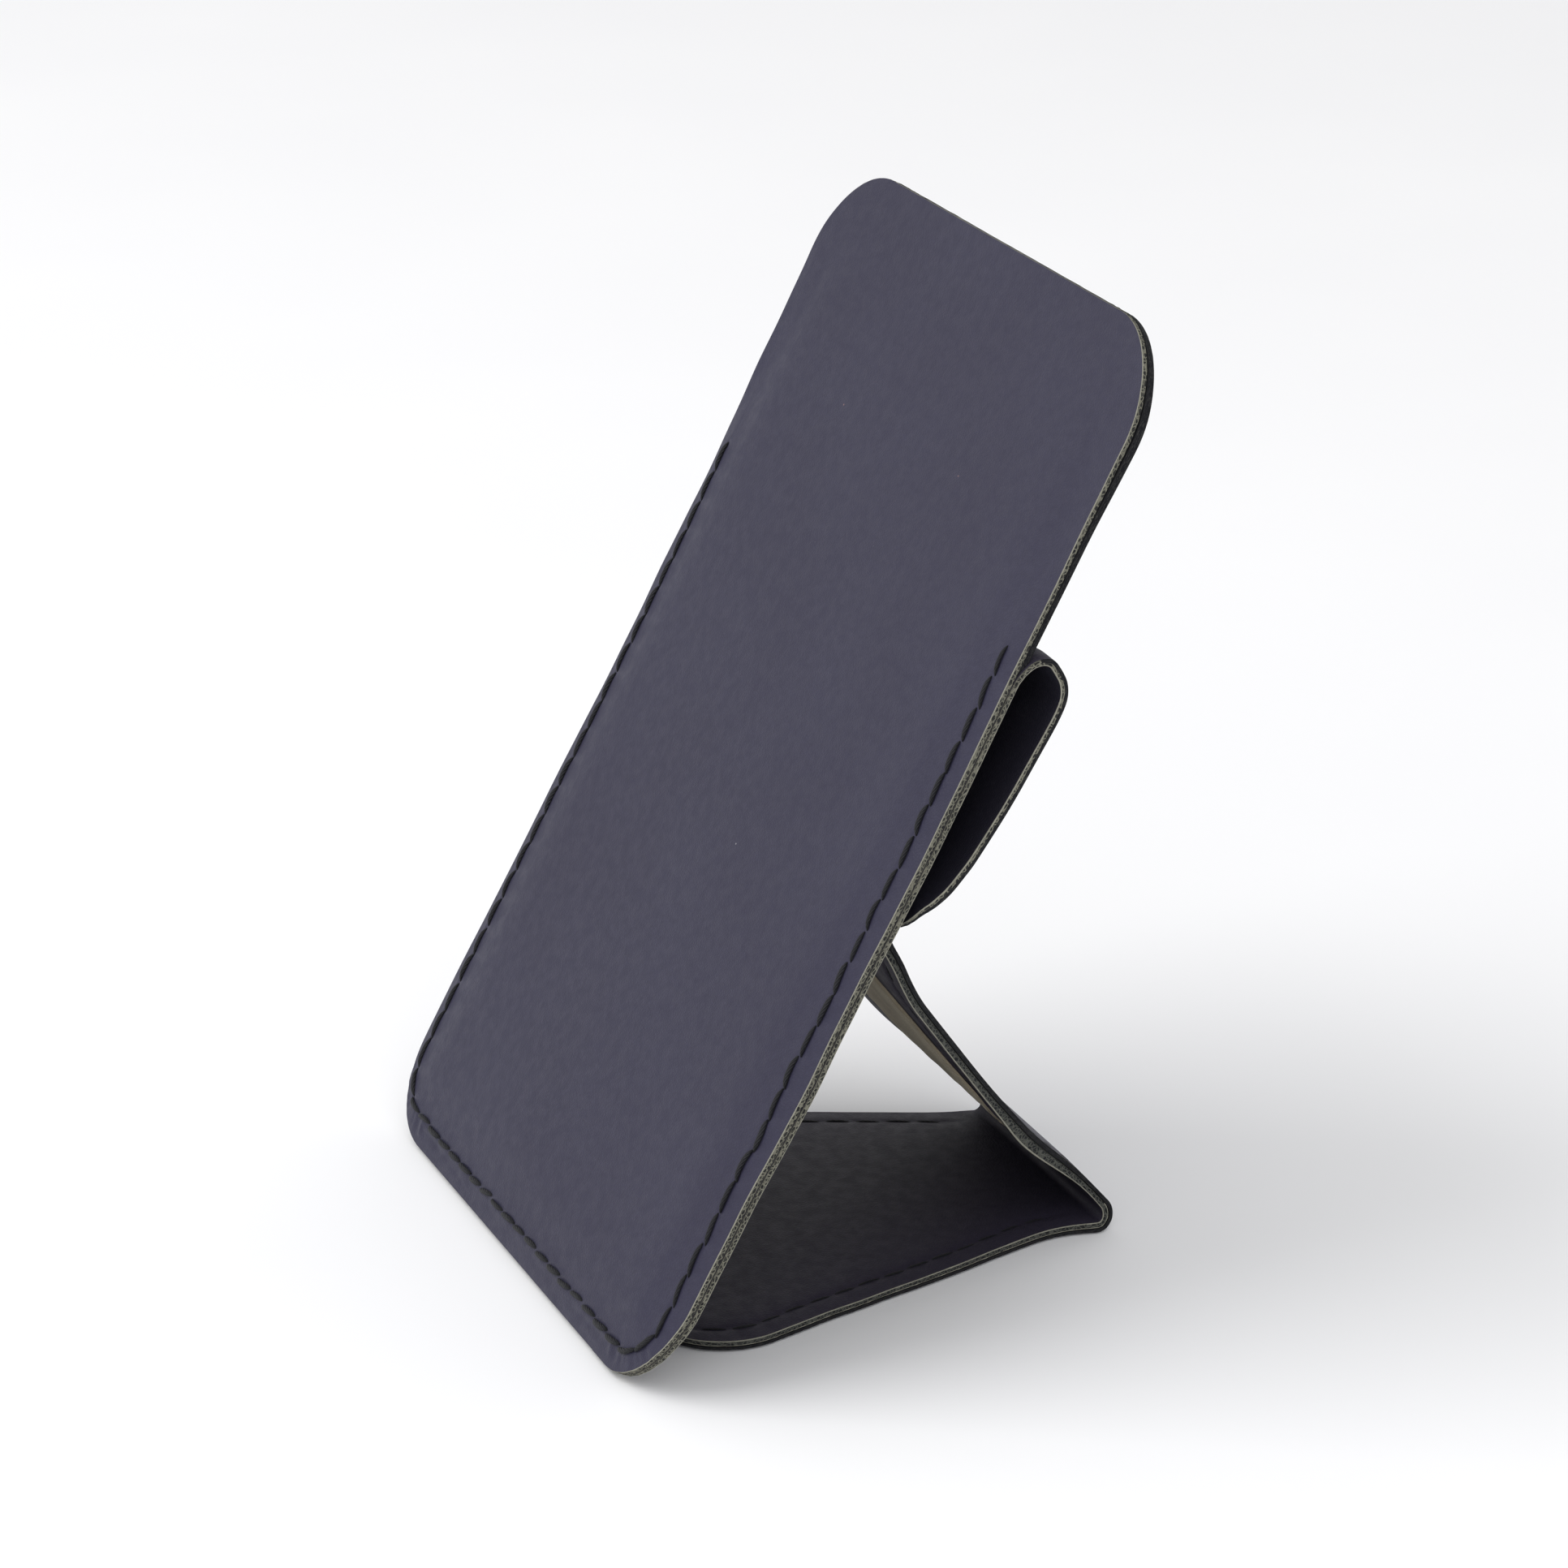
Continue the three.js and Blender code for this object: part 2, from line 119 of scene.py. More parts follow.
def wobble(x, seed, scale, amount, octaves=3):
    """Smooth repeatable noise along x."""
    r = np.random.default_rng(seed)
    x = np.asarray(x, float)
    out = np.zeros_like(x)
    for k in range(octaves):
        for _ in range(3):
            f = (1.6**k) * r.uniform(0.7, 1.4) / scale
            out += np.sin(2 * math.pi * (f * x + r.random())) * 0.55**k
    return out * amount / 3


def corner_loss(to_end, radius):
    """How far a rounded corner draws the side in, by the distance to the end."""
    rise = radius - np.clip(to_end, 0, radius)
    return radius - np.sqrt(np.maximum(radius**2 - rise**2, 0))


class Track:
    """A line in the side view, by its length, with the direction through the leather."""

    def __init__(self, points, step=0.1):
        p = np.array(points, float)
        p = p[np.r_[True, np.diff(distances(p)) > 1e-6]]
        self._lay(p, max(int(distances(p)[-1] / step), 8))

    def _lay(self, p, count):
        """Takes count points at even distances along p."""
        d = distances(p)
        self.length = d[-1]
        self.s = np.linspace(0, self.length, count)
        self.p = points_at(self.s, d, p)
        t = np.gradient(self.p, self.s, axis=0)
        t /= np.linalg.norm(t, axis=1)[:, None]
        self.n = np.stack([-t[:, 1], t[:, 0]], 1)

    def shift(self, by):
        """Moves each point through the leather by by(s)."""
        self._lay(self.p + self.n * by(self.s)[:, None], len(self.s))
        return self

    def at(self, s, level):
        """The y and z of the points at distance s and level."""
        py, pz, ny, nz = (np.interp(s, self.s, a) for a in (*self.p.T, *self.n.T))
        return py + ny * level, pz + nz * level


def spline(points, n):
    """A smooth curve of about n points through the given ones (Catmull-Rom)."""
    p = np.array(points, float)
    p = np.vstack([2 * p[0] - p[1], p, 2 * p[-1] - p[-2]])
    out = []
    for i in range(1, len(p) - 2):
        a, b, c, d = p[i - 1 : i + 3]
        square, cube = 2 * a - 5 * b + 4 * c - d, 3 * b - a - 3 * c + d
        for t in np.linspace(0, 1, max(n // len(points), 6), endpoint=False):
            out.append(0.5 * (2 * b + (c - a) * t + square * t**2 + cube * t**3))
    out.append(p[-2])
    return np.array(out)


def distances(p):
    """How far each point of a line is from its start, along it."""
    return np.r_[0, np.cumsum(np.linalg.norm(np.diff(p, axis=0), axis=1))]


def points_at(at, d, p):
    """Points of a flat line p, whose distances are d, at the distances at."""
    return np.stack([np.interp(at, d, p[:, k]) for k in (0, 1)], -1)


def soften(points, reach, step=0.1):
    """Evens out the bends of a line over about reach on both sides; its ends stay put."""
    p = np.asarray(points, float)
    d = distances(p)
    p = points_at(np.linspace(0, d[-1], int(d[-1] / step)), d, p)
    n = int(reach / step)
    weight = np.hanning(2 * n + 1)
    weight /= weight.sum()
    before = 2 * p[0] - p[n:0:-1]
    after = 2 * p[-1] - p[-2 : -n - 2 : -1]
    q = np.vstack([before, p, after])
    return np.stack([np.convolve(q[:, k], weight, "valid") for k in (0, 1)], 1)


def unit(v):
    """Rows scaled to length 1."""
    return v / np.maximum(np.linalg.norm(v, axis=-1)[..., None], 1e-9)


def to_world(points):
    """From the pouch's own side view (up it, out of its front) to y and z of the row frame."""
    p = np.array(points, float)
    y = POUCH_Y + p[:, 0] * COS - p[:, 1] * SIN
    z = POUCH_Z + p[:, 0] * SIN + p[:, 1] * COS
    return np.stack([y, z], 1)


def pouch_line(s, level):
    """The pocket's back plane: straight, then turning up a little."""
    s, level = np.broadcast_arrays(np.asarray(s, float), np.asarray(level, float))
    turn = TILT_TO - TILT_FROM
    turned = np.clip((s - TILT_FROM) / turn, 0, 1)
    angle = UPPER_TILT * turned
    rise = turn * UPPER_TILT * turned**2 / 2 + np.maximum(s - TILT_TO, 0) * math.sin(UPPER_TILT)
    return np.stack([s - np.sin(angle) * level, rise + np.cos(angle) * level], -1)


# ---------------------------------------------------------------- mesh building
def new_mesh(name, verts, faces, mats, uvs, face_mats=None, sharp=None):
    """Links a mesh given in millimetres; uvs are its vertices' flat coordinates."""
    mesh = bpy.data.meshes.new(name)
    mesh.from_pydata((np.asarray(verts) / 1000).tolist(), [], faces)
    for m in mats:
        mesh.materials.append(m)
    if face_mats is not None:
        mesh.polygons.foreach_set("material_index", np.asarray(face_mats, dtype=np.int32))
    layer = mesh.uv_layers.new(name="flat")
    loops = np.zeros(len(mesh.loops), dtype=np.int32)
    mesh.loops.foreach_get("vertex_index", loops)
    layer.data.foreach_set("uv", np.asarray(uvs)[loops].astype(np.float32).ravel())
    mesh.shade_smooth()
    if sharp:
        mesh.set_sharp_from_angle(angle=math.radians(sharp))
    mesh.validate()
    obj = bpy.data.objects.new(name, mesh)
    bpy.context.collection.objects.link(obj)
    return obj


# A cut edge is six bands, from the low face to the high one. A list of bands gives each its
# material: 2 is the light line beside a face, 3 the core, 4 a dark fuzz.
EDGE_LEVELS = (0.0, 0.07, 0.16, 0.5, 0.84, 0.93, 1.0)
BOTH_LINES = (2, 2, 3, 3, 2, 2)
HIGH_LINE = (3, 3, 3, 3, 2, 2)
LOW_LINE = (2, 2, 3, 3, 3, 3)
HIGH_LINE_DARK = (4, 4, 3, 3, 2, 2)
LOW_LINE_DARK = (2, 2, 3, 4, 4, 4)
EDGE_ROUGH = 0.035
EDGE_UV = 200  # sets an edge's flat coordinates apart from the faces'
SHARP_ANGLE = 38


def leather(
    name,
    rows,
    cols,
    half,
    place,
    low,
    high,
    mats,
    edge_seed,
    round_off=0.07,
    bands=BOTH_LINES,
    after=None,
):
    """A sheet of leather as a closed form: two grained faces and a cut edge with its layers.
    rows are distances s; cols are shares of half(s) = (left, right); place(s, level) gives y, z;
    low(u, s) and high(u, s) are the levels of its two faces. mats are the high face, the low
    face, and the edge's line, core and fuzz. after = (s, bands) changes the bands beyond s."""
    s, c = np.asarray(rows, float), np.asarray(cols, float)
    left, right = half(s)
    C, S = np.meshgrid(c, s)
    U = np.where(C < 0, C * np.asarray(left)[:, None], C * np.asarray(right)[:, None])
    nr, nc = S.shape
    lo, hi = low(U, S) + np.zeros_like(U), high(U, S) + np.zeros_like(U)

    def points(level):
        y, z = place(S, level)
        return np.stack([U, y, z], -1)

    # The rim: the grid's outermost points in order, and the directions through and out of the edge
    top, bottom = points(hi), points(lo)
    ring = [(0, j) for j in range(nc)] + [(i, nc - 1) for i in range(1, nr)]
    ring += [(nr - 1, j) for j in range(nc - 2, -1, -1)] + [(i, 0) for i in range(nr - 2, 0, -1)]
    ri, rj = np.array(ring).T
    a, b = bottom[ri, rj], top[ri, rj]
    thick = np.linalg.norm(b - a, axis=1)
    out = unit(np.cross(unit(np.roll(a, -1, 0) - np.roll(a, 1, 0)), unit(b - a)))
    run = distances(a)
    top[ri, rj] = b - out * round_off
    bottom[ri, rj] = a - out * round_off
    verts = [top.reshape(-1, 3), bottom.reshape(-1, 3)]
    uv = [np.stack([U.ravel(), S.ravel()], 1)] * 2
    n = nr * nc
    loops = [ri * nc + rj + n]
    for k, f in enumerate(EDGE_LEVELS[1:-1]):
        rough = wobble(run, edge_seed * 31 + k, 1.7, EDGE_ROUGH)
        rough = rough + wobble(run, edge_seed * 17 + k, 0.6, EDGE_ROUGH * 0.6, 2)
        verts.append(a + (b - a) * f + out * rough[:, None])
        uv.append(np.stack([run, EDGE_UV + 3 * k + f * thick], 1))
        loops.append(2 * n + k * len(ring) + np.arange(len(ring)))
    loops.append(ri * nc + rj)

    # Faces: the high side, the low side, and one band between each loop and the next
    idx = np.arange(n).reshape(nr, nc)
    q = np.stack([idx[:-1, :-1], idx[:-1, 1:], idx[1:, 1:], idx[1:, :-1]], -1).reshape(-1, 4)
    faces = [q, q[:, ::-1] + n]
    fm = [np.zeros(len(q)), np.ones(len(q))]
    for k in range(len(loops) - 1):
        x, y = loops[k], loops[k + 1]
        faces.append(np.stack([x, np.roll(x, -1), np.roll(y, -1), y], 1))
        kind = np.full(len(x), bands[k])
        if after:
            kind[s[ri] > after[0]] = after[1][k]
        fm.append(kind)
    faces = np.vstack(faces).tolist()
    return new_mesh(name, np.vstack(verts), faces, mats, np.vstack(uv), np.concatenate(fm), SHARP_ANGLE)


def tube(p, radii, normals, sides=8, flat=0.85):
    """Vertices, faces and flat coordinates of a bar along the points p, closed at both ends. It is
    a little flattened along the normals."""
    t = unit(np.gradient(p, axis=0))
    n = unit(normals - t * np.sum(normals * t, 1)[:, None])
    b = np.cross(t, n)
    ang = np.linspace(0, 2 * math.pi, sides, endpoint=False)
    across, outwards = np.cos(ang)[None, :, None], np.sin(ang)[None, :, None]
    rings = p[:, None] + radii[:, None, None] * (b[:, None] * across + n[:, None] * outwards * flat)
    verts = rings.reshape(-1, 3)
    m = len(p)
    faces = []
    for i in range(m - 1):
        for j in range(sides):
            k = (j + 1) % sides
            faces.append([i * sides + j, i * sides + k, (i + 1) * sides + k, (i + 1) * sides + j])
    faces.append(list(range(sides))[::-1])
    faces.append([(m - 1) * sides + j for j in range(sides)])
    uv = np.stack([np.tile(ang / (2 * math.pi), m), np.repeat(np.linspace(0, 1, m), sides)], 1)
    return verts, faces, uv


def stitch_row(name, line, count, surface, radius, seed, sink=0.2, proud=0.12, slant=0.18):
    """A row of single stitches along line(q), for q from 0 to 1, which gives flat coordinates and
    the sideways direction. surface(u, s) gives points in the row frame and the normals there.
    Each stitch stands proud in its middle, sinks at both ends and lies slanting to the row."""
    r = np.random.default_rng(seed)
    V, F, W, base = [], [], [], 0
    for k in range(count):
        q = np.linspace(k + r.normal(0, 0.02), k + 1 + r.normal(0, 0.02), 11) / count
        flat, side = line(q)
        t = np.linspace(-1, 1, len(q))
        lean = slant * (1 + r.normal(0, 0.35))
        flat = flat + side * (t * lean + r.normal(0, 0.07) + r.normal(0, 0.09) * (1 - t**2))[:, None]
        lift = proud - (sink + proud) * np.abs(t) ** 3.2 + r.normal(0, 0.02)
        p, n = surface(flat[:, 0], flat[:, 1])
        p = p + n * lift[:, None]
        rad = radius * (1 + r.normal(0, 0.09)) * (1 - 0.7 * np.abs(t) ** 3.5)
        v, f, w = tube(p, rad, n)
        V.append(v)
        F += [[i + base for i in face] for face in f]
        W.append(w * [1, 3.6] + [0, k * 7.3])
        base += len(v)
    return new_mesh(name, np.vstack(V), F, [thread], np.vstack(W))


def surface_at(place, level, side):
    """For stitch_row: the points at level(u, s), and the direction out of the leather there."""

    def surface(u, s):
        here = level(u, s)
        p = np.stack([u, *place(s, here)], -1)
        return p, np.stack([u, *place(s, here + side)], -1) - p

    return surface


def rows_of(*stretches):
    """The rows of several stretches in order, each once."""
    return np.unique(np.concatenate(stretches).round(3))


def quarter(radius, count):
    """Distances from an end that step evenly round its corner."""
    return radius * (1 - np.cos(np.linspace(0, math.pi / 2, count)))


# ---------------------------------------------------------------- materials
def material(name):
    """A new material with its node tree and its shader."""
    m = bpy.data.materials.new(name)
    m.use_nodes = True
    tree = m.node_tree
    tree.nodes.clear()
    out = tree.nodes.new("ShaderNodeOutputMaterial")
    shader = tree.nodes.new("ShaderNodeBsdfPrincipled")
    tree.links.new(shader.outputs[0], out.inputs[0])
    return m, tree, shader


def srgb(r, g, b):
    """A display colour, 0 to 255, as the linear one that Blender takes."""

    def f(c):
        c /= 255
        return c / 12.92 if c <= 0.04045 else ((c + 0.055) / 1.055) ** 2.4

    return (f(r), f(g), f(b), 1.0)


class Nodes:
    """Short calls for the node trees. Patterns are in millimetres: over the leather's flat
    coordinates, or through the solid if flat is False."""

    def __init__(self, tree, flat=True):
        self.t = tree
        if flat:
            uv = tree.nodes.new("ShaderNodeUVMap")
            uv.uv_map = "flat"
            self.co = uv.outputs[0]
        else:
            tc = tree.nodes.new("ShaderNodeTexCoord")
            mp = tree.nodes.new("ShaderNodeMapping")
            mp.inputs["Scale"].default_value = (1000, 1000, 1000)
            tree.links.new(tc.outputs["Object"], mp.inputs["Vector"])
            self.co = mp.outputs[0]

    def put(self, socket, value):
        if isinstance(value, bpy.types.NodeSocket):
            self.t.links.new(value, socket)
        else:
            socket.default_value = value

    def noise(self, scale, detail=3.0, rough=0.5, distortion=0.0, co=None):
        n = self.t.nodes.new("ShaderNodeTexNoise")
        self.put(n.inputs["Vector"], co or self.co)
        n.inputs["Scale"].default_value = scale
        n.inputs["Detail"].default_value = detail
        n.inputs["Roughness"].default_value = rough
        n.inputs["Distortion"].default_value = distortion
        return n.outputs["Fac"]

    def cells(self, scale, feature="F1", co=None):
        n = self.t.nodes.new("ShaderNodeTexVoronoi")
        n.feature = feature
        self.put(n.inputs["Vector"], co or self.co)
        n.inputs["Scale"].default_value = scale
        n.inputs["Randomness"].default_value = 1.0
        return n.outputs["Distance"]

    def stretch(self, x, y):
        n = self.t.nodes.new("ShaderNodeMapping")
        n.inputs["Scale"].default_value = (x, y, 1.0)
        self.put(n.inputs["Vector"], self.co)
        return n.outputs[0]

    def ramp(self, fac, a, b, lo=0.0, hi=1.0):
        n = self.t.nodes.new("ShaderNodeMapRange")
        n.interpolation_type = "SMOOTHSTEP"
        self.put(n.inputs["Value"], fac)
        n.inputs["From Min"].default_value = a
        n.inputs["From Max"].default_value = b
        n.inputs["To Min"].default_value = lo
        n.inputs["To Max"].default_value = hi
        return n.outputs[0]

    def mix(self, fac, a, b):
        n = self.t.nodes.new("ShaderNodeMix")
        n.data_type = "RGBA"
        self.put(n.inputs[0], fac)
        self.put(n.inputs[6], a)
        self.put(n.inputs[7], b)
        return n.outputs[2]

    def math(self, op, a, b):
        n = self.t.nodes.new("ShaderNodeMath")
        n.operation = op
        self.put(n.inputs[0], a)
        self.put(n.inputs[1], b)
        return n.outputs[0]

    def add(self, a, b):
        return self.math("ADD", a, b)

    def times(self, a, b):
        return self.math("MULTIPLY", a, b)

    def bump(self, height, distance, strength=1.0, normal=None):
        n = self.t.nodes.new("ShaderNodeBump")
        n.inputs["Strength"].default_value = strength
        n.inputs["Distance"].default_value = distance
        self.put(n.inputs["Height"], height)
        if normal is not None:
            self.put(n.inputs["Normal"], normal)
        return n.outputs[0]


LINT, CRUMB = srgb(150, 150, 155), srgb(150, 120, 115)


def grain_leather(
    name, base, light, dark, rough=0.55, grain=2.6, depth=0.00003, dust=True, spec=0.3, sheen=0.0
):
    """Fine printed grain on a coated leather, a little mottled, with a few specks of dust."""
    m, tree, shader = material(name)
    n = Nodes(tree)
    cloud = n.ramp(n.noise(0.035, 3.0), 0.3, 0.7)
    fine = n.ramp(n.noise(1.1, 4.0, 0.65), 0.3, 0.7)
    colour = n.mix(n.times(cloud, 0.55), base, light)
    colour = n.mix(n.times(fine, 0.35), colour, dark)
    pores = n.cells(grain, "DISTANCE_TO_EDGE")
    colour = n.mix(n.ramp(pores, 0.0, 0.12, 0.22, 0.0), colour, dark)
    if dust:
        some = n.ramp(n.noise(0.9, 1.0), 0.45, 0.6)
        lint = n.ramp(n.cells(0.16), 0.012, 0.022, 1.0, 0.0)
        colour = n.mix(n.times(lint, some), colour, LINT)
        crumbs = n.ramp(n.cells(0.085), 0.007, 0.014, 0.8, 0.0)
        colour = n.mix(crumbs, colour, CRUMB)
    gloss = n.ramp(n.noise(0.5, 4.0, 0.6), 0.3, 0.7, rough - 0.05, rough + 0.07)
    n.put(shader.inputs["Base Color"], colour)
    n.put(shader.inputs["Roughness"], gloss)
    shader.inputs["Specular IOR Level"].default_value = spec
    if sheen:
        shader.inputs["Sheen Weight"].default_value = sheen
        shader.inputs["Sheen Roughness"].default_value = 0.4
        shader.inputs["Sheen Tint"].default_value = (0.6, 0.65, 0.9, 1)
    height = n.add(n.ramp(pores, 0.0, 0.25), n.times(n.noise(5.0, 3.0), 0.6))
    waves = n.bump(n.noise(0.12, 2.0), 0.00012, 0.35)
    n.put(shader.inputs["Normal"], n.bump(height, depth, 0.6, waves))
    return m


def fibre(name, base, light, dark, share, weave=0.0):
    """Cut leather: short fibres and crumbs in patches about half a millimetre long; with weave,
    the yarns of its backing show as a light net."""
    m, tree, shader = material(name)
    n = Nodes(tree)
    crumbs = n.noise(5.0, 3.0, 0.7, 0.6)
    patches = n.noise(1.5, 2.0, 0.6, 1.2, n.stretch(1.0, 0.8))
    fac = n.ramp(patches, share - 0.04, share + 0.05)
    if weave:
        net = n.cells(1.0, "DISTANCE_TO_EDGE", co=n.stretch(1.7, 0.2))
        fac = n.add(n.times(fac, 1 - weave), n.ramp(net, 0.03, 0.17, weave, 0.0))
    colour = n.mix(fac, dark, light)
    colour = n.mix(n.ramp(crumbs, 0.4, 0.75, 0.0, 0.7), colour, base)
    n.put(shader.inputs["Base Color"], colour)
    shader.inputs["Roughness"].default_value = 0.92
    shader.inputs["Specular IOR Level"].default_value = 0.2
    n.put(shader.inputs["Normal"], n.bump(n.add(crumbs, patches), 0.00008, 0.9))
    return m


front_grain = grain_leather(
    "front_leather", srgb(45, 43, 63), srgb(51, 50, 70), srgb(36, 34, 52), sheen=0.03
)
back_grain = grain_leather(
    "back_leather", srgb(42, 40, 54), srgb(48, 46, 60), srgb(33, 32, 44), spec=0.35, sheen=0.04
)
# Painted shade: a darker copy of the back leather, for the pocket's back and the inside of the belt
# loop, which lie in shade.
pocket_grain_painted_shade = grain_leather(
    "pocket_leather_painted_shade", srgb(31, 29, 40), srgb(37, 35, 46), srgb(24, 23, 32), sheen=0.03
)
flesh = grain_leather(
    "flesh_side", srgb(9, 9, 13), srgb(13, 13, 18), srgb(6, 6, 9), 0.85, 1.6, 0.00006, False, 0.2
)
lining_grain = grain_leather(
    "lining_leather", srgb(46, 42, 57), srgb(53, 48, 64), srgb(34, 31, 42), 0.6, 2.4, dust=False
)
edge_line = fibre("edge_line", srgb(118, 117, 108), srgb(182, 180, 164), srgb(88, 87, 84), 0.4)
edge_core = fibre("edge_core", srgb(52, 53, 54), srgb(150, 148, 132), srgb(24, 25, 31), 0.53, 0.75)
# Painted shade: a darker copy of the edge core for the leg's cut edges, set against how the light falls
# on them.
leg_core_painted_shade = fibre("leg_edge_core_painted_shade", srgb(42, 44, 48), srgb(110, 111, 103), srgb(22, 24, 28), 0.55, 0.65)
edge_fuzz = fibre("edge_fuzz", srgb(34, 34, 40), srgb(64, 64, 62), srgb(20, 20, 26), 0.55)


def suede_material():
    """Pale split leather with its nap brushed here and there."""
    m, tree, shader = material("suede")
    n = Nodes(tree)
    nap = n.noise(0.14, 3.0, 0.55)
    fuzz = n.noise(3.2, 4.0, 0.7)
    colour = n.mix(n.ramp(nap, 0.35, 0.65), srgb(162, 152, 130), srgb(186, 176, 154))
    colour = n.mix(n.ramp(fuzz, 0.35, 0.7), colour, srgb(132, 120, 100))
    n.put(shader.inputs["Base Color"], colour)
    shader.inputs["Roughness"].default_value = 1.0
    shader.inputs["Specular IOR Level"].default_value = 0.1
    shader.inputs["Sheen Weight"].default_value = 0.35
    shader.inputs["Sheen Roughness"].default_value = 0.6
    shader.inputs["Sheen Tint"].default_value = (0.8, 0.75, 0.62, 1)
    n.put(shader.inputs["Normal"], n.bump(n.add(fuzz, nap), 0.00014, 0.9))
    return m


def thread_material():
    """Dark waxed thread: slanting plies with a little fluff."""
    m, tree, shader = material("waxed_thread")
    n = Nodes(tree)
    wave = tree.nodes.new("ShaderNodeTexWave")
    wave.wave_type = "BANDS"
    wave.bands_direction = "DIAGONAL"
    wave.inputs["Scale"].default_value = 1.1
    wave.inputs["Distortion"].default_value = 1.2
    n.put(wave.inputs["Vector"], n.stretch(4.0, 1.0))
    plies = wave.outputs["Fac"]
    fluff = n.noise(6.0, 3.0)
    colour = n.mix(n.ramp(plies, 0.2, 0.9), srgb(9, 9, 13), srgb(21, 22, 28))
    n.put(shader.inputs["Base Color"], n.mix(n.ramp(fluff, 0.55, 0.8), colour, srgb(33, 35, 42)))
    shader.inputs["Roughness"].default_value = 0.6
    shader.inputs["Specular IOR Level"].default_value = 0.35
    n.put(shader.inputs["Normal"], n.bump(n.add(plies, fluff), 0.00009, 0.9))
    return m


def board_material():
    """Pressed grey-brown fibre board with lighter flecks."""
    m, tree, shader = material("fibre_board")
    n = Nodes(tree, False)
    flecks = n.noise(0.8, 4.0, 0.7)
    colour = n.mix(n.ramp(flecks, 0.35, 0.7), srgb(140, 132, 112), srgb(168, 160, 138))
    n.put(shader.inputs["Base Color"], colour)
    shader.inputs["Roughness"].default_value = 0.95
    n.put(shader.inputs["Normal"], n.bump(flecks, 0.00005, 0.5))
    return m


suede = suede_material()
thread = thread_material()
board = board_material()
for node in ("front_board", "base_board"):
    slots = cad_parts[node].data.materials
    slots.clear()
    slots.append(board)


# ---------------------------------------------------------------- pouch
CORNER_U = HALF - SEAM_SIDE - SEAM_CORNER  # the middle of the seam's corner
CORNER_S = SEAM_BOTTOM + SEAM_CORNER


def seam_offset(u, s):
    """Distance from the U-shaped seam, positive towards the cut edge."""
    x = np.abs(u) - CORNER_U
    y = CORNER_S - s
    return np.hypot(np.maximum(x, 0), np.maximum(y, 0)) + np.minimum(np.maximum(x, y), 0) - SEAM_CORNER


# The seam's length down one side, round one corner, and from its end to the middle of the bottom
SEAM_SIDE_RUN = SEAM_TOP - SEAM_BOTTOM - SEAM_CORNER
SEAM_ARC = SEAM_CORNER * math.pi / 2
SEAM_HALF = SEAM_SIDE_RUN + SEAM_ARC + HALF - SEAM_SIDE - SEAM_CORNER
STITCHES = round(SEAM_HALF / PITCH)


def seam_run(u, s):
    """Distance along the seam from its upper end, for points beside it."""
    x = np.abs(u) - CORNER_U
    y = CORNER_S - s
    corner = np.arctan2(np.maximum(y, 0), np.maximum(x, 1e-6)) * SEAM_CORNER
    side = SEAM_TOP - s
    low = SEAM_SIDE_RUN + SEAM_ARC - x
    return np.where(y <= 0, side, np.where(x > 0, SEAM_SIDE_RUN + corner, low))


def seam_line(q):
    """Flat coordinates of the seam and its sideways direction, for q from 0 to 1 round the U."""
    total = 2 * SEAM_HALF
    d = np.asarray(q) * total
    right = d < SEAM_HALF
    run = np.where(right, d, total - d)
    sign = np.where(right, 1.0, -1.0)
    angle = np.clip((run - SEAM_SIDE_RUN) / SEAM_CORNER, 0, math.pi / 2)
    u = CORNER_U + SEAM_CORNER * np.cos(angle) - np.maximum(run - SEAM_SIDE_RUN - SEAM_ARC, 0)
    s = CORNER_S - SEAM_CORNER * np.sin(angle) + np.maximum(SEAM_SIDE_RUN - run, 0)
    side = np.stack([np.cos(angle) * sign, -np.sin(angle)], -1)
    flat = np.stack([u * sign, s], -1) + side * wobble(d, 5, 23.0, 0.12)[..., None]
    return flat, side


def margin_level(u, s):
    """Level of the two sheets' common back in the margin, a little lower on the left."""
    outwards = np.clip(seam_offset(u, s) / SEAM_BOTTOM, 0, 1)
    seam = SEAM_LEVEL - 0.3 * smooth(-u, 0, 30)
    return seam + (EDGE_LEVEL - seam) * outwards


def margin_flare(u, s, off):
    """How the two sheets' margins wave outside the seam's sides."""
    return wobble(s + np.sign(u) * 40, 21, 34.0, 0.12) * smooth(off, 0.6, 3.0) * (np.abs(u) > 30)


def stitch_relief(u, s):
    """Fine relief by the seam: the thread's own bed, deeper at each hole, and small puckers."""
    off, run = seam_offset(u, s), seam_run(u, s)
    phase = run / SEAM_HALF * STITCHES
    live = 1 - smooth(s, SEAM_TOP - 0.4, SEAM_TOP + 0.8)
    hole = np.cos(2 * math.pi * phase) * 0.5 + 0.5
    bed = bump(off, 0, 0.42) * (0.10 + 0.16 * hole**3)
    low = smooth(s, 12, 4)
    pucker = bump(off, 1.1, 0.9) * (0.5 + 0.5 * np.cos(2 * math.pi * phase + 0.6))
    pucker *= 0.05 + 0.13 * low
    pucker += low * bump(off, 1.0, 1.1) * wobble(run, 11, 2.6, 0.10)
    return (-bed - pucker) * live


def front_back(u, s):
    """Level of the front leather's back: crowned inside the seam, flat above the pocket."""
    off = seam_offset(u, s)
    inwards = smooth(-off, 0, 7)
    level = margin_level(u, s) + CROWN * inwards
    flat = smooth(s, SEAM_TOP - 4 - 6 * inwards, SEAM_TOP + 16 + 18 * inwards)
    return LEATHER + GAP + level + (EDGE_LEVEL - level) * flat + margin_flare(u, s, off)


def front_top(u, s):
    """Level of the front leather's face."""
    body = wobble(s * 0.9 + u * 0.5, 31, 70.0, 0.10) + wobble(u * 1.1 - s * 0.3, 33, 60.0, 0.08)
    inside = smooth(-seam_offset(u, s), 4, 12)
    return front_back(u, s) + LEATHER + stitch_relief(u, s) + body * inside


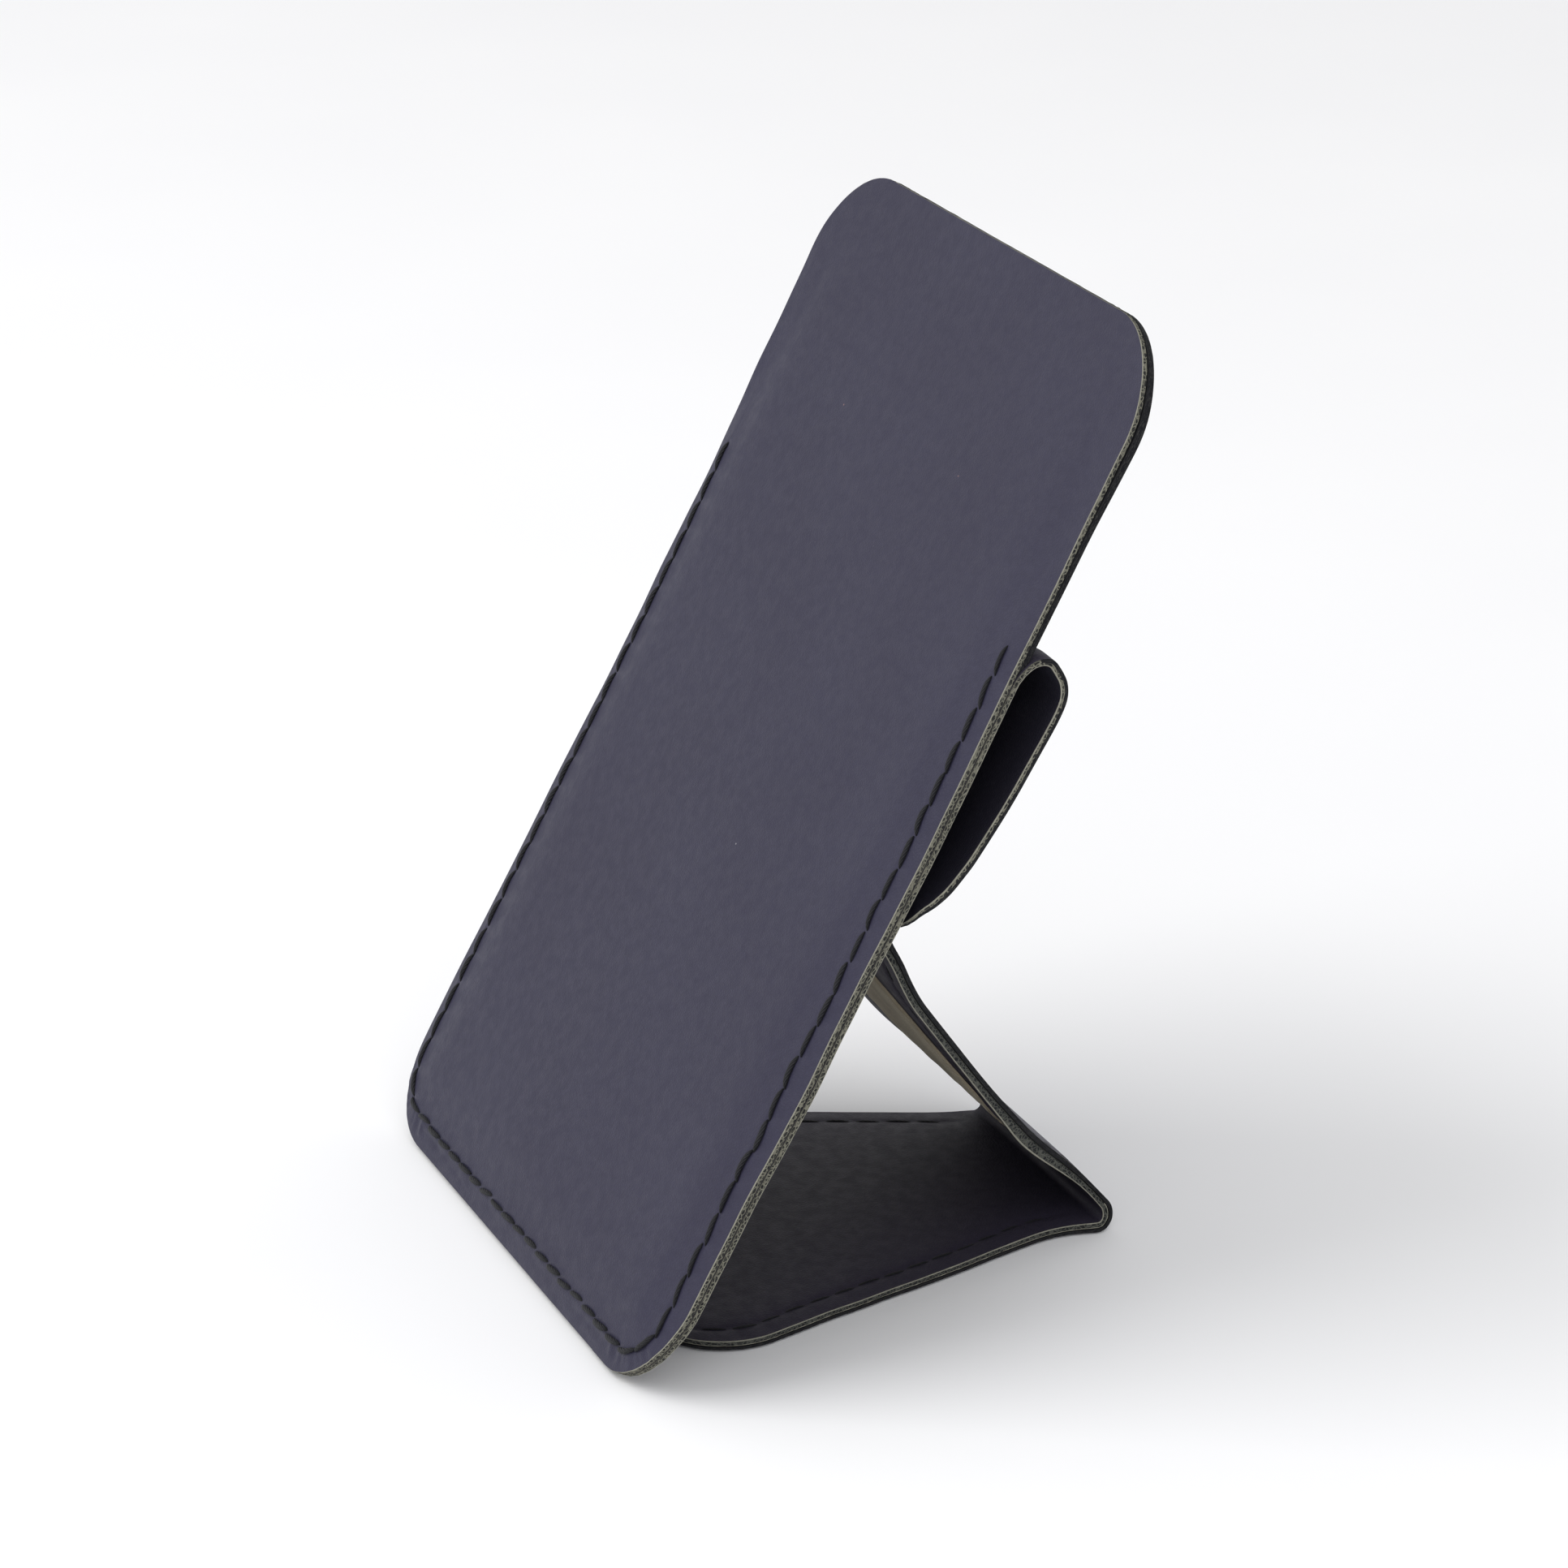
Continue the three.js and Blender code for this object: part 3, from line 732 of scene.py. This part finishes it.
def front_half(s):
    """Half widths to the left and right, not quite alike."""
    loss = corner_loss(LENGTH - s, TOP_CORNER) + corner_loss(s, BOTTOM_CORNER)
    base = HALF - loss
    right = base + 0.28 * bump(s, 127, 8) - 0.30 * bump(s, 98, 14) + 0.22 * bump(s, 40, 16)
    left = base + wobble(s, 41, 45.0, 0.18) * smooth(s, 12, 25) * (1 - smooth(s, 112, 122))
    return left, right


def ends(length, low_radius, high_radius, step, fine):
    """Rows closer together towards both ends."""
    low = quarter(low_radius, fine)
    high = length - quarter(high_radius, fine)[::-1]
    middle = np.arange(low[-1] + step, high[0] - step * 0.5, step)
    return np.concatenate([low, middle, high])


def columns(half, fine_to, fine_step, coarse):
    """Shares of the half width, closer together near both edges."""
    d = np.concatenate([[0, 0.12], np.arange(0.3, fine_to, fine_step)])
    rest = np.linspace(fine_to, half, coarse)
    x = np.concatenate([d, rest])
    right = 1 - x[::-1] / half
    return np.concatenate([-right[1:][::-1], right])


def pouch_place(s, level):
    """The y and z of the points at distance s up the pouch and at level."""
    p = pouch_line(s, level)
    w = to_world(p.reshape(-1, 2))
    return w[:, 0].reshape(p.shape[:-1]), w[:, 1].reshape(p.shape[:-1])


front = leather(
    "front_leather_panel",
    rows_of(ends(LENGTH, BOTTOM_CORNER, TOP_CORNER, 0.5, 44), np.arange(0, 9, 0.28)),
    columns(HALF, 8.0, 0.28, 16),
    front_half,
    pouch_place,
    front_back,
    front_top,
    [front_grain, flesh, edge_line, edge_core, edge_fuzz],
    2,
    bands=HIGH_LINE,
    after=(EDGE_DARKENS, HIGH_LINE_DARK),
)
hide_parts("front_panel")
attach(front, "pouch")

# Lining behind the upper part: it ends at the pocket's mouth at the cut edge, and goes on down
# inside the pocket between the seams. It springs out a little at the upper right corner.
SPRING_AT = 124


def lining_half(s):
    left, right = front_half(s)
    inner = HALF - 6.2
    t = smooth(s, LINING_FROM - 0.5, LINING_FROM)
    right = right - 0.12 + 0.25 * bump(s, SPRING_AT, 9)
    return inner + (left - 0.15 - inner) * t, inner + (right - inner) * t


def lining_front(u, s):
    behind = smooth(np.abs(u), 37, 33) * smooth(s, 126.5, 125.5)
    return front_back(u, s) - 0.06 - 0.42 * behind


def lining_back(u, s):
    thin = smooth(s, LINING_FROM + 1.5, LINING_FROM - 0.5)
    springs = 0.32 * bump(s, SPRING_AT, 10) * smooth(u, 30, 42)
    return lining_front(u, s) - LEATHER + 0.35 * thin + wobble(s + u, 51, 30, 0.04) - springs


lining = leather(
    "front_lining_leather",
    rows_of(
        np.linspace(6.5, 92, 40),
        np.arange(92, 102, 0.25),
        np.arange(102, LENGTH - TOP_CORNER, 1.2),
        LENGTH - quarter(TOP_CORNER, 34),
    ),
    columns(HALF, 8.0, 0.5, 14),
    lining_half,
    pouch_place,
    lining_back,
    lining_front,
    [flesh, lining_grain, edge_fuzz, edge_fuzz],
    3,
)
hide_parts("front_lining")
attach(lining, "pouch")

# Pocket and belt loop are one piece of leather: up the pocket, over at its mouth and down to a
# foot on the pocket's back. Its middle line is in the pouch's side view: up it, out of its front.
POCKET_LEVEL = 0.35
LOOP_LINE = [
    [MOUTH, POCKET_LEVEL],
    [93.5, POCKET_LEVEL],
    [95.6, 0.2],
    [96.7, -1.0],
    [96.0, -2.6],
    [94.8, -3.9],
    [92.6, -4.6],
    [87.0, -4.5],
    [79.3, -3.95],
    [73.1, -3.25],
    [70.9, -2.8],
    [68.4, -2.15],
    [66.4, -1.25],
    [65.0, -0.6],
    [63.8, -0.45],
    [61.6, -0.45],
]
straight = [[v, POCKET_LEVEL] for v in np.arange(0, MOUTH, 1.0)]
pocket_points = np.vstack([straight, soften(spline(LOOP_LINE, 260), 1.0)])
pocket_track = Track(to_world(pouch_line(*pocket_points.T)), 0.08)


def pocket_half(s):
    """As the front up to the mouth, then the loop's own, down to the foot's rounded corners."""
    left, right = front_half(s)
    over = smooth(s, MOUTH, MOUTH + 5)
    left = left + (HALF + wobble(s, 61, 30, 0.12) - left) * over
    right = right + (HALF + 0.1 + wobble(s, 62, 26, 0.12) - right) * over
    end = corner_loss(pocket_track.length - s, LOOP_CORNER)
    return left - end, right - end


def pocket_mid(u, s):
    """Level of the middle of the leather: up in the margin, down inside the seam, and a slight
    lip in the middle of the mouth."""
    off = seam_offset(u, s)
    margin = margin_level(u, s) * (1 - smooth(-off, 0, 4)) + margin_flare(u, s, off)
    lip = bump(s, 95.8, 2.2) * smooth(np.abs(u), 42, 36) * 0.55
    return margin * (1 - smooth(s, 93.0, 98.5)) + lip


def thicker(s):
    """The loop's cut edge is a little swollen."""
    return 0.12 * smooth(s, 94, 98) * (1 - smooth(s, pocket_track.length - 7, pocket_track.length - 1))


def pocket_low(u, s):
    """Level of the outer face."""
    relief = stitch_relief(u, s) * (s < 90)
    return pocket_mid(u, s) - LEATHER / 2 - relief * 0.8 - thicker(s)


pocket = leather(
    "pocket_and_belt_loop",
    rows_of(
        quarter(BOTTOM_CORNER, 40),
        np.arange(0, 9, 0.3),
        np.arange(12, 91, 0.55),
        np.arange(91, 108, 0.25),
        np.arange(108, pocket_track.length - 6, 0.5),
        pocket_track.length - quarter(6, 24),
    ),
    columns(HALF, 7.0, 0.4, 12),
    pocket_half,
    pocket_track.at,
    pocket_low,
    lambda u, s: pocket_mid(u, s) + LEATHER / 2 + thicker(s),
    # The low face, the pocket's back and the loop's inside, takes the darker copy of the back leather:
    # painted shade.
    [lining_grain, pocket_grain_painted_shade, edge_line, edge_core, edge_fuzz],
    5,
    bands=LOW_LINE,
    after=(EDGE_DARKENS, LOW_LINE_DARK),
)
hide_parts("pocket_panel", "belt_loop")
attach(pocket, "pouch")


def foot_line(q):
    """The row across the belt loop's foot."""
    d = np.asarray(q)
    flat = np.stack([-FOOT_HALF + 2 * FOOT_HALF * d, FOOT_UP + wobble(d * 70, 71, 20, 0.1)], -1)
    return flat, np.stack([np.zeros_like(d), np.ones_like(d)], -1)


front_surface = surface_at(pouch_place, lambda u, s: front_back(u, s) + LEATHER, 1)
back_surface = surface_at(pouch_place, margin_level, -1)
foot_surface = surface_at(pouch_place, lambda u, s: np.full_like(s, FOOT_LEVEL), -1)
needle = stitch_row("needle_stitches", seam_line, 2 * STITCHES, front_surface, 0.33, 3)
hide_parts("needle_thread")
bobbin = stitch_row("bobbin_stitches", seam_line, 2 * STITCHES, back_surface, 0.24, 4, 0.3, 0.08, 0.1)
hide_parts("bobbin_thread")
foot = stitch_row("foot_stitches", foot_line, FOOT_STITCHES, foot_surface, 0.27, 6, 0.3, 0.1, 0.12)
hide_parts("foot_thread")
for piece in (needle, bobbin, foot):
    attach(piece, "pouch")

# ---------------------------------------------------------------- leg
# Its middle line: along the base, round the neck and straight up the brace to the hinge
hinge = to_world([[HINGE_UP, HINGE_LEVEL]])[0]
reach = math.hypot(hinge[0] - NECK_Y, hinge[1] - NECK_Z)
MIDDLE = NECK_R - LEAF / 2
BRACE = math.atan2(hinge[1] - NECK_Z, hinge[0] - NECK_Y) + math.asin(MIDDLE / reach)
BRACE_LENGTH = math.sqrt(reach**2 - MIDDLE**2) - 0.15  # just short of the hinge
NECK_RUN = MIDDLE * BRACE
NECK_AT = BASE_LENGTH + NECK_RUN / 2
BRACE_FROM = BASE_LENGTH + NECK_RUN

leg_points = [[NECK_Y - BASE_LENGTH + x, LEAF / 2] for x in np.arange(0, BASE_LENGTH, 0.25)]
for a in np.linspace(-math.pi / 2, BRACE - math.pi / 2, 60):
    leg_points.append([NECK_Y + MIDDLE * math.cos(a), NECK_Z + MIDDLE * math.sin(a)])
brace_foot = np.array(leg_points[-1])
up_brace = np.array([math.cos(BRACE), math.sin(BRACE)])
leg_points += [brace_foot + up_brace * x for x in np.arange(0.25, BRACE_LENGTH, 0.25)]
leg_points.append(brace_foot + up_brace * BRACE_LENGTH)


def leg_bow(s):
    """The brace bows inwards above the fold."""
    t = s - BRACE_FROM
    return BOW * smooth(t, 1, 19) * (1 - smooth(t, 47, 63))


def leg_twist(u, s):
    """The brace is bent in a little more on the right than on the left."""
    t = s - BRACE_FROM
    turn = 0.5 * bump(t, 28, 13) * smooth(t, 0, 6) + 0.25 * bump(t, 46, 12) * (1 - smooth(t, 52, 61))
    return turn * u / 25


leg_track = Track(leg_points).shift(leg_bow)

# Half the leaves' width by the distance from the neck
LEAF_OUTLINE = [[0, 17.3], [6, 18.9], [20, 24.8], [34, 29.8], [52, 36], [70, 41]]
outline_at = np.linspace(0, LEAF_OUTLINE[-1][0], 281)
outline_half = np.interp(outline_at, *spline(LEAF_OUTLINE, 300).T)


def leg_half(s):
    """Half widths to the left and right; on the right the leaves are wider by the neck."""
    t_base = BASE_LENGTH - s
    t_brace = s - BRACE_FROM
    t = np.maximum(np.maximum(t_base, t_brace), 0)
    w = np.interp(t, outline_at, outline_half)
    w = np.where(t_brace > 0, np.minimum(w, BRACE_HALF), w)
    w = w - np.where(t_base > 0, corner_loss(s, BASE_CORNER), 0)
    upper = smooth(s, BASE_LENGTH, BRACE_FROM)
    wider = (3.2 - 0.8 * upper) * np.exp(-t / (8 - 2 * upper))
    return w + wobble(s, 81, 26, 0.12), w + wider + wobble(s, 82, 26, 0.14)


def leaf_offset(u, s):
    """Distance inwards from the leaves' cut edges, about."""
    left, right = leg_half(s)
    side = np.where(u > 0, right, left) - np.abs(u)
    return np.minimum(side, np.minimum(s, leg_track.length - s + 0.5))


def leaf_bed(u, s, amount):
    """The thread's bed along the leaves' seams, which stop short of the neck."""
    return bump(leaf_offset(u, s), LEAF_SEAM, 0.55) * amount * smooth(np.abs(s - NECK_AT), 3, 7)


def pinch(u, s):
    """The seam draws the two layers together and the cut edges are pressed thin, less so at the
    neck and where the brace starts, and not at the root's fold."""
    off = leaf_offset(u, s)
    t = s - BRACE_FROM
    pressed = 1 - 0.6 * smooth(t, 1, 8) - 0.35 * bump(t, 15, 8) - 0.5 * bump(s, NECK_AT, 4)
    pressed *= 1 - smooth(s, leg_track.length - 4, leg_track.length - 2)
    return bump(off, LEAF_SEAM, 1.6) * 0.12 + bump(off, 0, 2.4) * 0.26 * pressed


def sprung(u, s):
    """The lining's margin stands up a little beside the lower brace."""
    margin = 0.38 * bump(leaf_offset(u, s), 0, 2.2) * bump(s - BRACE_FROM, 17, 9)
    return margin + wobble(u * 0.8 + s, 91, 40, 0.06)


def over_board(u, s):
    """1 over the board inside a leaf, 0 in its margin."""
    left, right = leg_half(s)
    side = smooth(0.82 * left - np.abs(u), -0.6, 0.6)
    base = smooth(s, 5, 6) * (1 - smooth(s, BASE_LENGTH - 6, BASE_LENGTH - 5))
    brace = smooth(s, BRACE_FROM + 5, BRACE_FROM + 6)
    brace = brace * (1 - smooth(s, leg_track.length - 6, leg_track.length - 5))
    return side * (base + brace)


# Levels of the leg's two layers: the leather outside and the lining inside
def outer_low(u, s):
    return -LEAF / 2 + leaf_bed(u, s, 0.18) + pinch(u, s) * 1.1 + leg_twist(u, s)


def outer_high(u, s):
    return -LEAF / 2 + LEATHER - 0.03 + leg_twist(u, s)


def inner_low(u, s):
    return -LEAF / 2 + LEATHER + 0.02 + 0.42 * over_board(u, s) + leg_twist(u, s)


def inner_high(u, s):
    seam = leaf_bed(u, s, 0.12) + pinch(u, s) * 0.8
    return LEAF / 2 - seam + sprung(u, s) + leg_twist(u, s)


def narrower(by=0.0, share=1.0):
    """The leg's half widths, less a margin or times a share."""
    return lambda s: tuple(share * w - by for w in leg_half(s))


leg_rows = rows_of(
    quarter(BASE_CORNER, 34),
    np.arange(10, 55, 0.6),
    np.arange(55, 70, 0.2),
    np.arange(70, leg_track.length - 5, 0.6),
    np.arange(leg_track.length - 5, leg_track.length, 0.3),
    [leg_track.length],
)
leg_cols = columns(30.0, 6.0, 0.35, 12)
leg_leather = leather(
    "leg_leather",
    leg_rows,
    leg_cols,
    leg_half,
    leg_track.at,
    outer_low,
    outer_high,
    [flesh, back_grain, edge_fuzz, edge_fuzz],
    7,
)
leg_lining = leather(
    "leg_lining",
    leg_rows,
    leg_cols,
    narrower(by=0.1),
    leg_track.at,
    inner_low,
    inner_high,
    # The edge core here is the leg's darker copy: painted shade.
    [lining_grain, flesh, edge_line, leg_core_painted_shade],
    8,
    after=(BRACE_FROM, HIGH_LINE),
)
brace_board = leather(
    "brace_fibre_board",
    np.linspace(BRACE_FROM + 6.6, leg_track.length - 6.6, 50),
    columns(24.0, 3.0, 1.0, 10),
    narrower(share=0.76),
    leg_track.at,
    leg_twist,
    lambda u, s: leg_twist(u, s) + 0.28,
    [board] * 4,
    12,
)
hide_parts("brace_board")
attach(brace_board, "brace")


for piece, nodes, finish in (
    (leg_leather, ("base_leather", "neck_leather", "brace_leather"), "leather"),
    (leg_lining, ("base_lining", "neck_lining", "brace_lining"), "lining"),
):
    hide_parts(*nodes)
    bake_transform(piece)


def leaf_line(near, far):
    """For stitch_row: along a leaf's right side from near to far, across, and back on its left."""
    table = np.linspace(near, far, 240)
    left, right = leg_half(table)
    sides = [
        np.stack([right - LEAF_SEAM, table], 1),
        np.stack([LEAF_SEAM - left, table], 1)[::-1],
    ]
    route = np.vstack(sides)
    run = distances(route)

    def line(q):
        at = np.asarray(q, float) * run[-1]
        t = unit(points_at(at + 0.3, run, route) - points_at(at - 0.3, run, route))
        return points_at(at, run, route), np.stack([t[..., 1], -t[..., 0]], -1)

    return line


base_line = leaf_line(BASE_LENGTH - 5.0, LEAF_SEAM)
brace_line = leaf_line(BRACE_FROM + 5.0, leg_track.length - LEAF_SEAM)


def leaf_stitches(name, body, line, side, radius, proud, seed):
    """A leaf's seam, seen on one side: 1 is inside, -1 outside."""
    surface = surface_at(leg_track.at, lambda u, s: side * (LEAF / 2 - 0.17) + leg_twist(u, s), side)
    piece = stitch_row(name, line, LEAF_STITCHES, surface, radius, seed, 0.3, proud, 0.1)
    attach(piece, body)
    return piece


base_row = leaf_stitches("base_stitches", "base", base_line, 1, 0.2, -0.05, 11)
leaf_stitches("base_under_stitches", "base", base_line, -1, 0.18, -0.08, 12)
brace_row = leaf_stitches("brace_stitches", "brace", brace_line, -1, 0.2, -0.05, 13)
leaf_stitches("brace_inner_stitches", "brace", brace_line, 1, 0.2, -0.05, 14)
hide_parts("base_thread")
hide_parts("brace_thread")

# Suede patch inside the brace
PAD_FROM = BRACE_FROM + 9.5
PAD_TO = leg_track.length - 5.0


def pad_half(s):
    """As wide as the brace allows, less so towards the neck, with a slightly uneven cut."""
    low = 1 - smooth(s, PAD_FROM, PAD_FROM + 28)
    w = np.minimum(PAD_HALF, leg_half(s)[0] - 2.0 - 8.0 * low)
    w = w - corner_loss(PAD_TO - s, 3.0) - corner_loss(s - PAD_FROM, 6.0)
    return w + wobble(s, 95, 9, 0.15), w + wobble(s, 96, 9, 0.15)


def pad_face(u, s):
    """Level of the napped face; the suede thins out towards the neck."""
    thick = 0.24 + 0.18 * smooth(s, PAD_FROM + 6, PAD_FROM + 26)
    nap = wobble(u * 1.3 + s, 97, 9, 0.05) + wobble(u - s * 1.4, 98, 5, 0.04)
    return LEAF / 2 + thick + nap + leg_twist(u, s)


pad = leather(
    "suede_patch",
    rows_of(PAD_FROM + ends(PAD_TO - PAD_FROM, 6, 3, 1.0, 18)),
    columns(22.0, 3.0, 0.4, 10),
    pad_half,
    leg_track.at,
    lambda u, s: LEAF / 2 + 0.02 + leg_twist(u, s),
    pad_face,
    [suede] * 4,
    9,
    0.1,
)
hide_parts("brace_pad")
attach(pad, "brace")

# Fold at the root: from flat on the pocket's back round to the outside of the brace. In the
# pouch's side view it is an arc that starts at fold_up, on the pocket's back, and then goes
# straight on to meet the outer leather where the brace ends.
ROOT_TURN = BRACE - LEAN
ROOT_LEVEL = -(GAP + LEATHER / 2)
brace_way = np.array([math.cos(ROOT_TURN), math.sin(ROOT_TURN)])
outwards = np.array([brace_way[1], -brace_way[0]])
outer = outwards * (LEAF - LEATHER) / 2
arc_end_level = ROOT_LEVEL - ROOT_R + ROOT_R * math.cos(ROOT_TURN)
along = (HINGE_LEVEL + outer[1] - arc_end_level) / brace_way[1]
fold_up = HINGE_UP + outer[0] - along * brace_way[0] + ROOT_R * brace_way[1]
root_points = [[fold_up + x, ROOT_LEVEL] for x in (0.3, 0.15)]
for a in np.linspace(0, ROOT_TURN, 24):
    root_points.append([fold_up - ROOT_R * math.sin(a), ROOT_LEVEL - ROOT_R + ROOT_R * math.cos(a)])
root_points += [root_points[-1] - brace_way * x for x in (0.1, 0.2, 0.28)]
root_track = Track(to_world(root_points), 0.04)
root = leather(
    "root_fold_leather",
    np.linspace(0, root_track.length, 22),
    np.linspace(-1, 1, 60),
    lambda s: (np.full_like(s, BRACE_HALF), np.full_like(s, BRACE_HALF)),
    root_track.at,
    lambda u, s: np.full_like(u, -LEATHER / 2),
    lambda u, s: np.full_like(u, LEATHER / 2),
    [back_grain, flesh, edge_fuzz, edge_fuzz],
    10,
)
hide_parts("root_fold")
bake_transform(root)


# ---------------------------------------------------------------- camera, floor and light
FOCAL = 7000 / 1932  # the focal length, in picture widths


def camera_from_fit():
    """The camera that puts the pouch's corners and the leg where the photo has them."""
    right = Vector((0.37470, 0.92714, 0.00273))
    upward = Vector((-0.31572, 0.12483, 0.94061))
    forward = Vector((-0.87173, 0.35331, -0.33949))
    data = bpy.data.cameras.new("camera")
    data.sensor_width = 36.0
    data.sensor_fit = "HORIZONTAL"
    data.lens = FOCAL * 36
    data.clip_start = 0.01
    data.clip_end = 20
    obj = bpy.data.objects.new("camera", data)
    m = Matrix((right, upward, -forward)).transposed().to_4x4()
    m.translation = Vector((594.015, -240.566, 287.263)) / 1000
    obj.matrix_world = m
    bpy.context.collection.objects.link(obj)
    bpy.context.scene.camera = obj


camera_from_fit()

FLOOR_RADIUS, FLOOR_SIDES = 1.6, 64  # in metres
floor_mat, floor_tree, floor_shader = material("pale_table")
fn = Nodes(floor_tree, False)
pale = fn.mix(fn.noise(0.01, 2.0), srgb(247, 247, 249), srgb(252, 252, 253))
fn.put(floor_shader.inputs["Base Color"], pale)
floor_shader.inputs["Roughness"].default_value = 0.7
floor_mesh = bpy.data.meshes.new("floor")
angles = np.linspace(0, 2 * math.pi, FLOOR_SIDES, endpoint=False)
rim = [(FLOOR_RADIUS * math.cos(a), FLOOR_RADIUS * math.sin(a), 0.0) for a in angles]
floor_mesh.from_pydata(rim, [], [list(range(FLOOR_SIDES))])
floor_mesh.materials.append(floor_mat)
floor = bpy.data.objects.new("floor", floor_mesh)
bpy.context.collection.objects.link(floor)


def area(name, at, target, size, power, colour=(1, 1, 1)):
    """A soft rectangular light."""
    data = bpy.data.lights.new(name, "AREA")
    data.shape = "RECTANGLE"
    data.size, data.size_y = size
    data.energy = power
    data.color = colour
    obj = bpy.data.objects.new(name, data)
    obj.location = at
    obj.rotation_euler = (Vector(target) - Vector(at)).to_track_quat("-Z", "Y").to_euler()
    bpy.context.collection.objects.link(obj)


world = bpy.data.worlds.new("world")
world.use_nodes = True
world.node_tree.nodes["Background"].inputs[0].default_value = (1, 1, 1, 1)
world.node_tree.nodes["Background"].inputs[1].default_value = 0.74
bpy.context.scene.world = world
area("key", (-0.2, -0.9, 1.1), (0, 0, 0.05), (1.1, 0.9), 9.4)
area("fill", (0.9, -0.2, 0.7), (0, 0, 0.05), (0.8, 0.8), 2.2, (0.95, 0.97, 1))
bpy.context.scene.view_settings.view_transform = "Standard"
